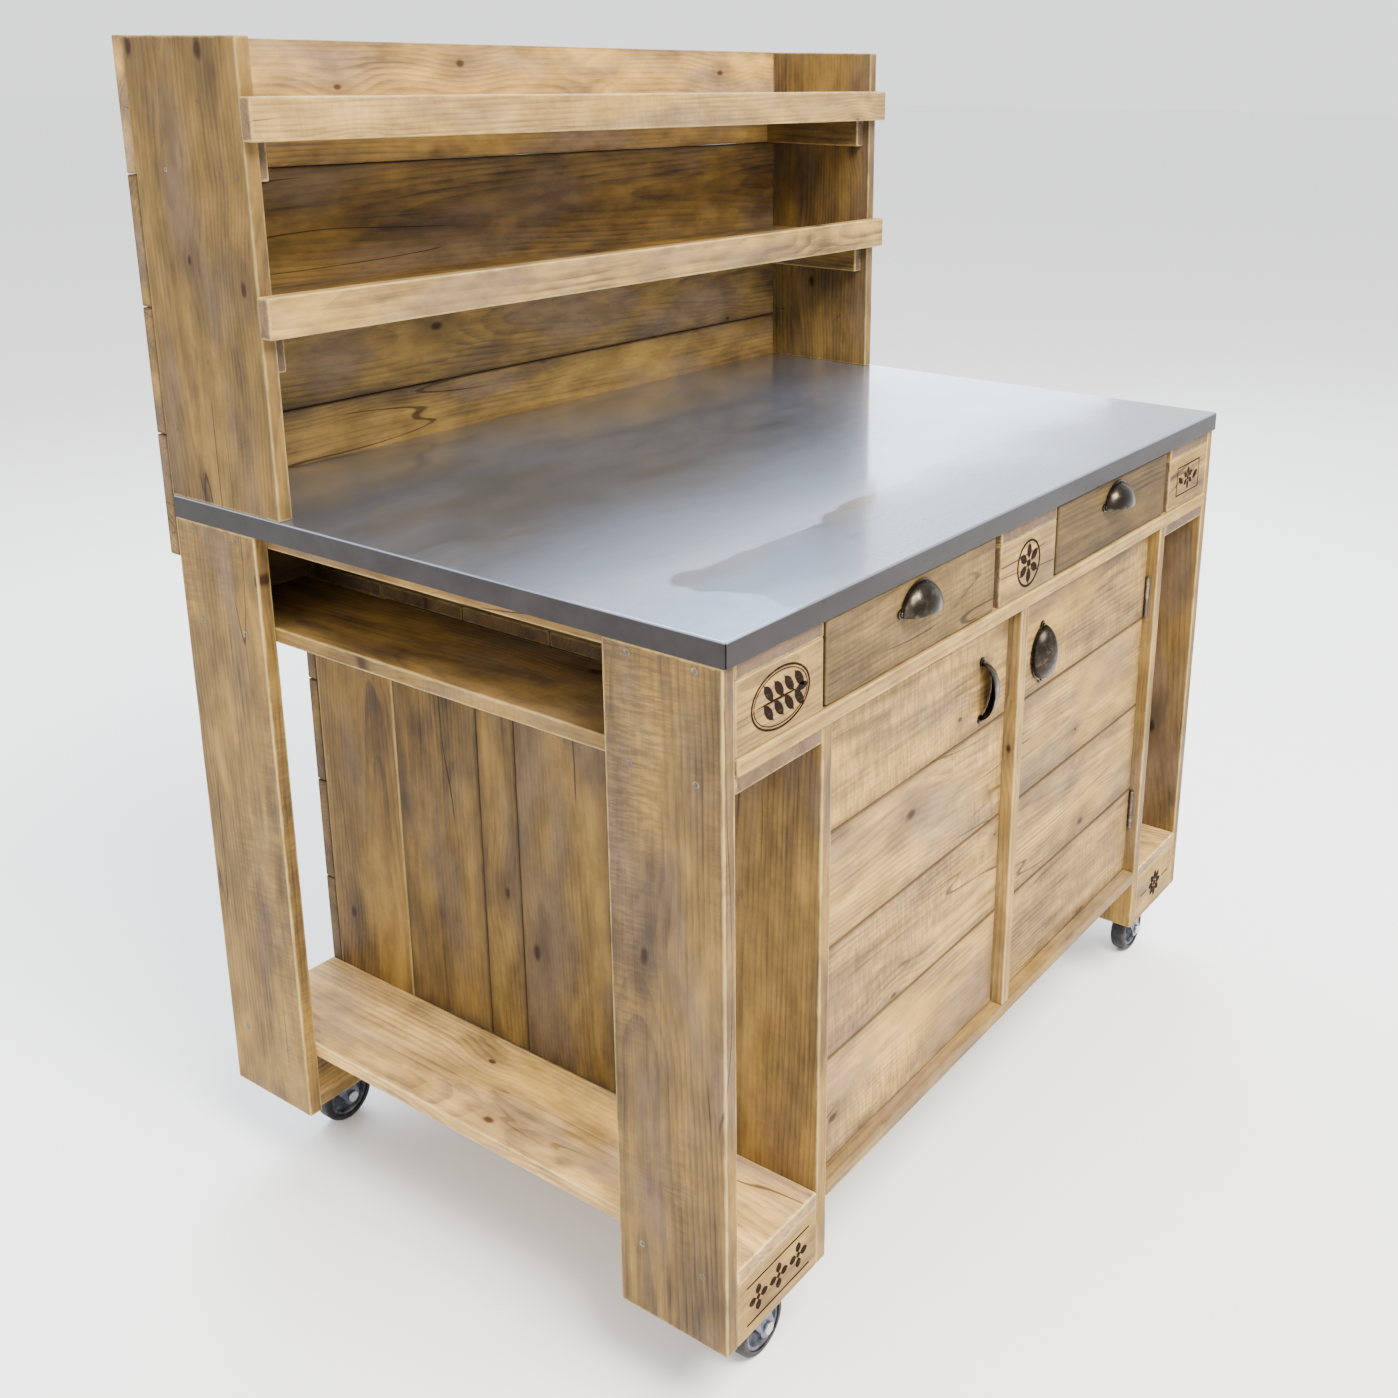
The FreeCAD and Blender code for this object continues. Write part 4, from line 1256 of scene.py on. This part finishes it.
class BENCH_OT_stage(bpy.types.Operator):
    """Lay the floor, light it softly and set the camera"""

    bl_idname = "bench.stage"
    bl_label = "Stage"

    def execute(self, context):
        stage = settings("stage")
        bpy.ops.mesh.primitive_circle_add(vertices=96, radius=60, fill_type="NGON")
        floor = added("floor")
        g = Graph("floor")
        cloud = g.noise(g.spot(), (0.6, 0.6, 0.6), 2)
        tone = g.mix(g.times(cloud, 0.06), stage.floor, (0.85, 0.85, 0.85))
        floor.data.materials.append(g.surface(Base_Color=tone, Roughness=0.7))
        world = bpy.data.worlds.new("surround")
        context.scene.world = world
        world.use_nodes = True
        background = world.node_tree.nodes["Background"]
        background.inputs["Color"].default_value = (*stage.sky, 1.0)
        background.inputs["Strength"].default_value = stage.sky_strength
        for name, spot, target, size, share, tint in LAMPS:
            area_light(name, spot, target, size, stage.key * share, tint)
        self.camera(stage)
        return {"FINISHED"}

    def camera(self, stage):
        """The camera, a little above the worktop's left front corner."""
        bpy.ops.object.camera_add(
            location=(-1.5994, -1.1938, 1.3888),
            rotation=(math.radians(73.17), math.radians(-0.85), math.radians(-56.03)),
        )
        camera = bpy.context.object
        camera.name = "camera"
        camera.data.lens = stage.lens
        camera.data.sensor_width = 36
        camera.data.shift_x = -0.10
        camera.data.shift_y = -0.12
        camera.data.clip_start = 0.05
        bpy.context.scene.camera = camera


# ---- add-on

SETTINGS = {
    "timber": TimberSettings,
    "metal": MetalSettings,
    "casters": CasterSettings,
    "stage": StageSettings,
}
STEPS = (
    BENCH_OT_frame, BENCH_OT_cabinet, BENCH_OT_worktop, BENCH_OT_hutch, BENCH_OT_doors,
    BENCH_OT_drawers, BENCH_OT_pulls, BENCH_OT_hinges, BENCH_OT_screws, BENCH_OT_casters,
    BENCH_OT_marks, BENCH_OT_stage,
)


class BENCH_PT_panel(bpy.types.Panel):
    """The steps that build the bench, in order"""

    bl_idname = "BENCH_PT_panel"
    bl_label = "Potting Bench"
    bl_space_type = "VIEW_3D"
    bl_region_type = "UI"
    bl_category = "Potting Bench"

    def draw(self, context):
        for step in STEPS:
            self.layout.operator(step.bl_idname)
        for name, group in SETTINGS.items():
            box = self.layout.box()
            box.label(text=name.capitalize())
            for prop in group.__annotations__:
                box.prop(getattr(context.scene, "bench_" + name), prop)


def register():
    for name, group in SETTINGS.items():
        bpy.utils.register_class(group)
        setattr(bpy.types.Scene, "bench_" + name, PointerProperty(type=group))
    for cls in (*STEPS, BENCH_PT_panel):
        bpy.utils.register_class(cls)


def unregister():
    for cls in reversed((*STEPS, BENCH_PT_panel)):
        bpy.utils.unregister_class(cls)
    for name, group in SETTINGS.items():
        delattr(bpy.types.Scene, "bench_" + name)
        bpy.utils.unregister_class(group)


def main():
    register()
    for step in STEPS:
        group, name = step.bl_idname.split(".")
        getattr(getattr(bpy.ops, group), name)()


if __name__ == "__main__":
    main()
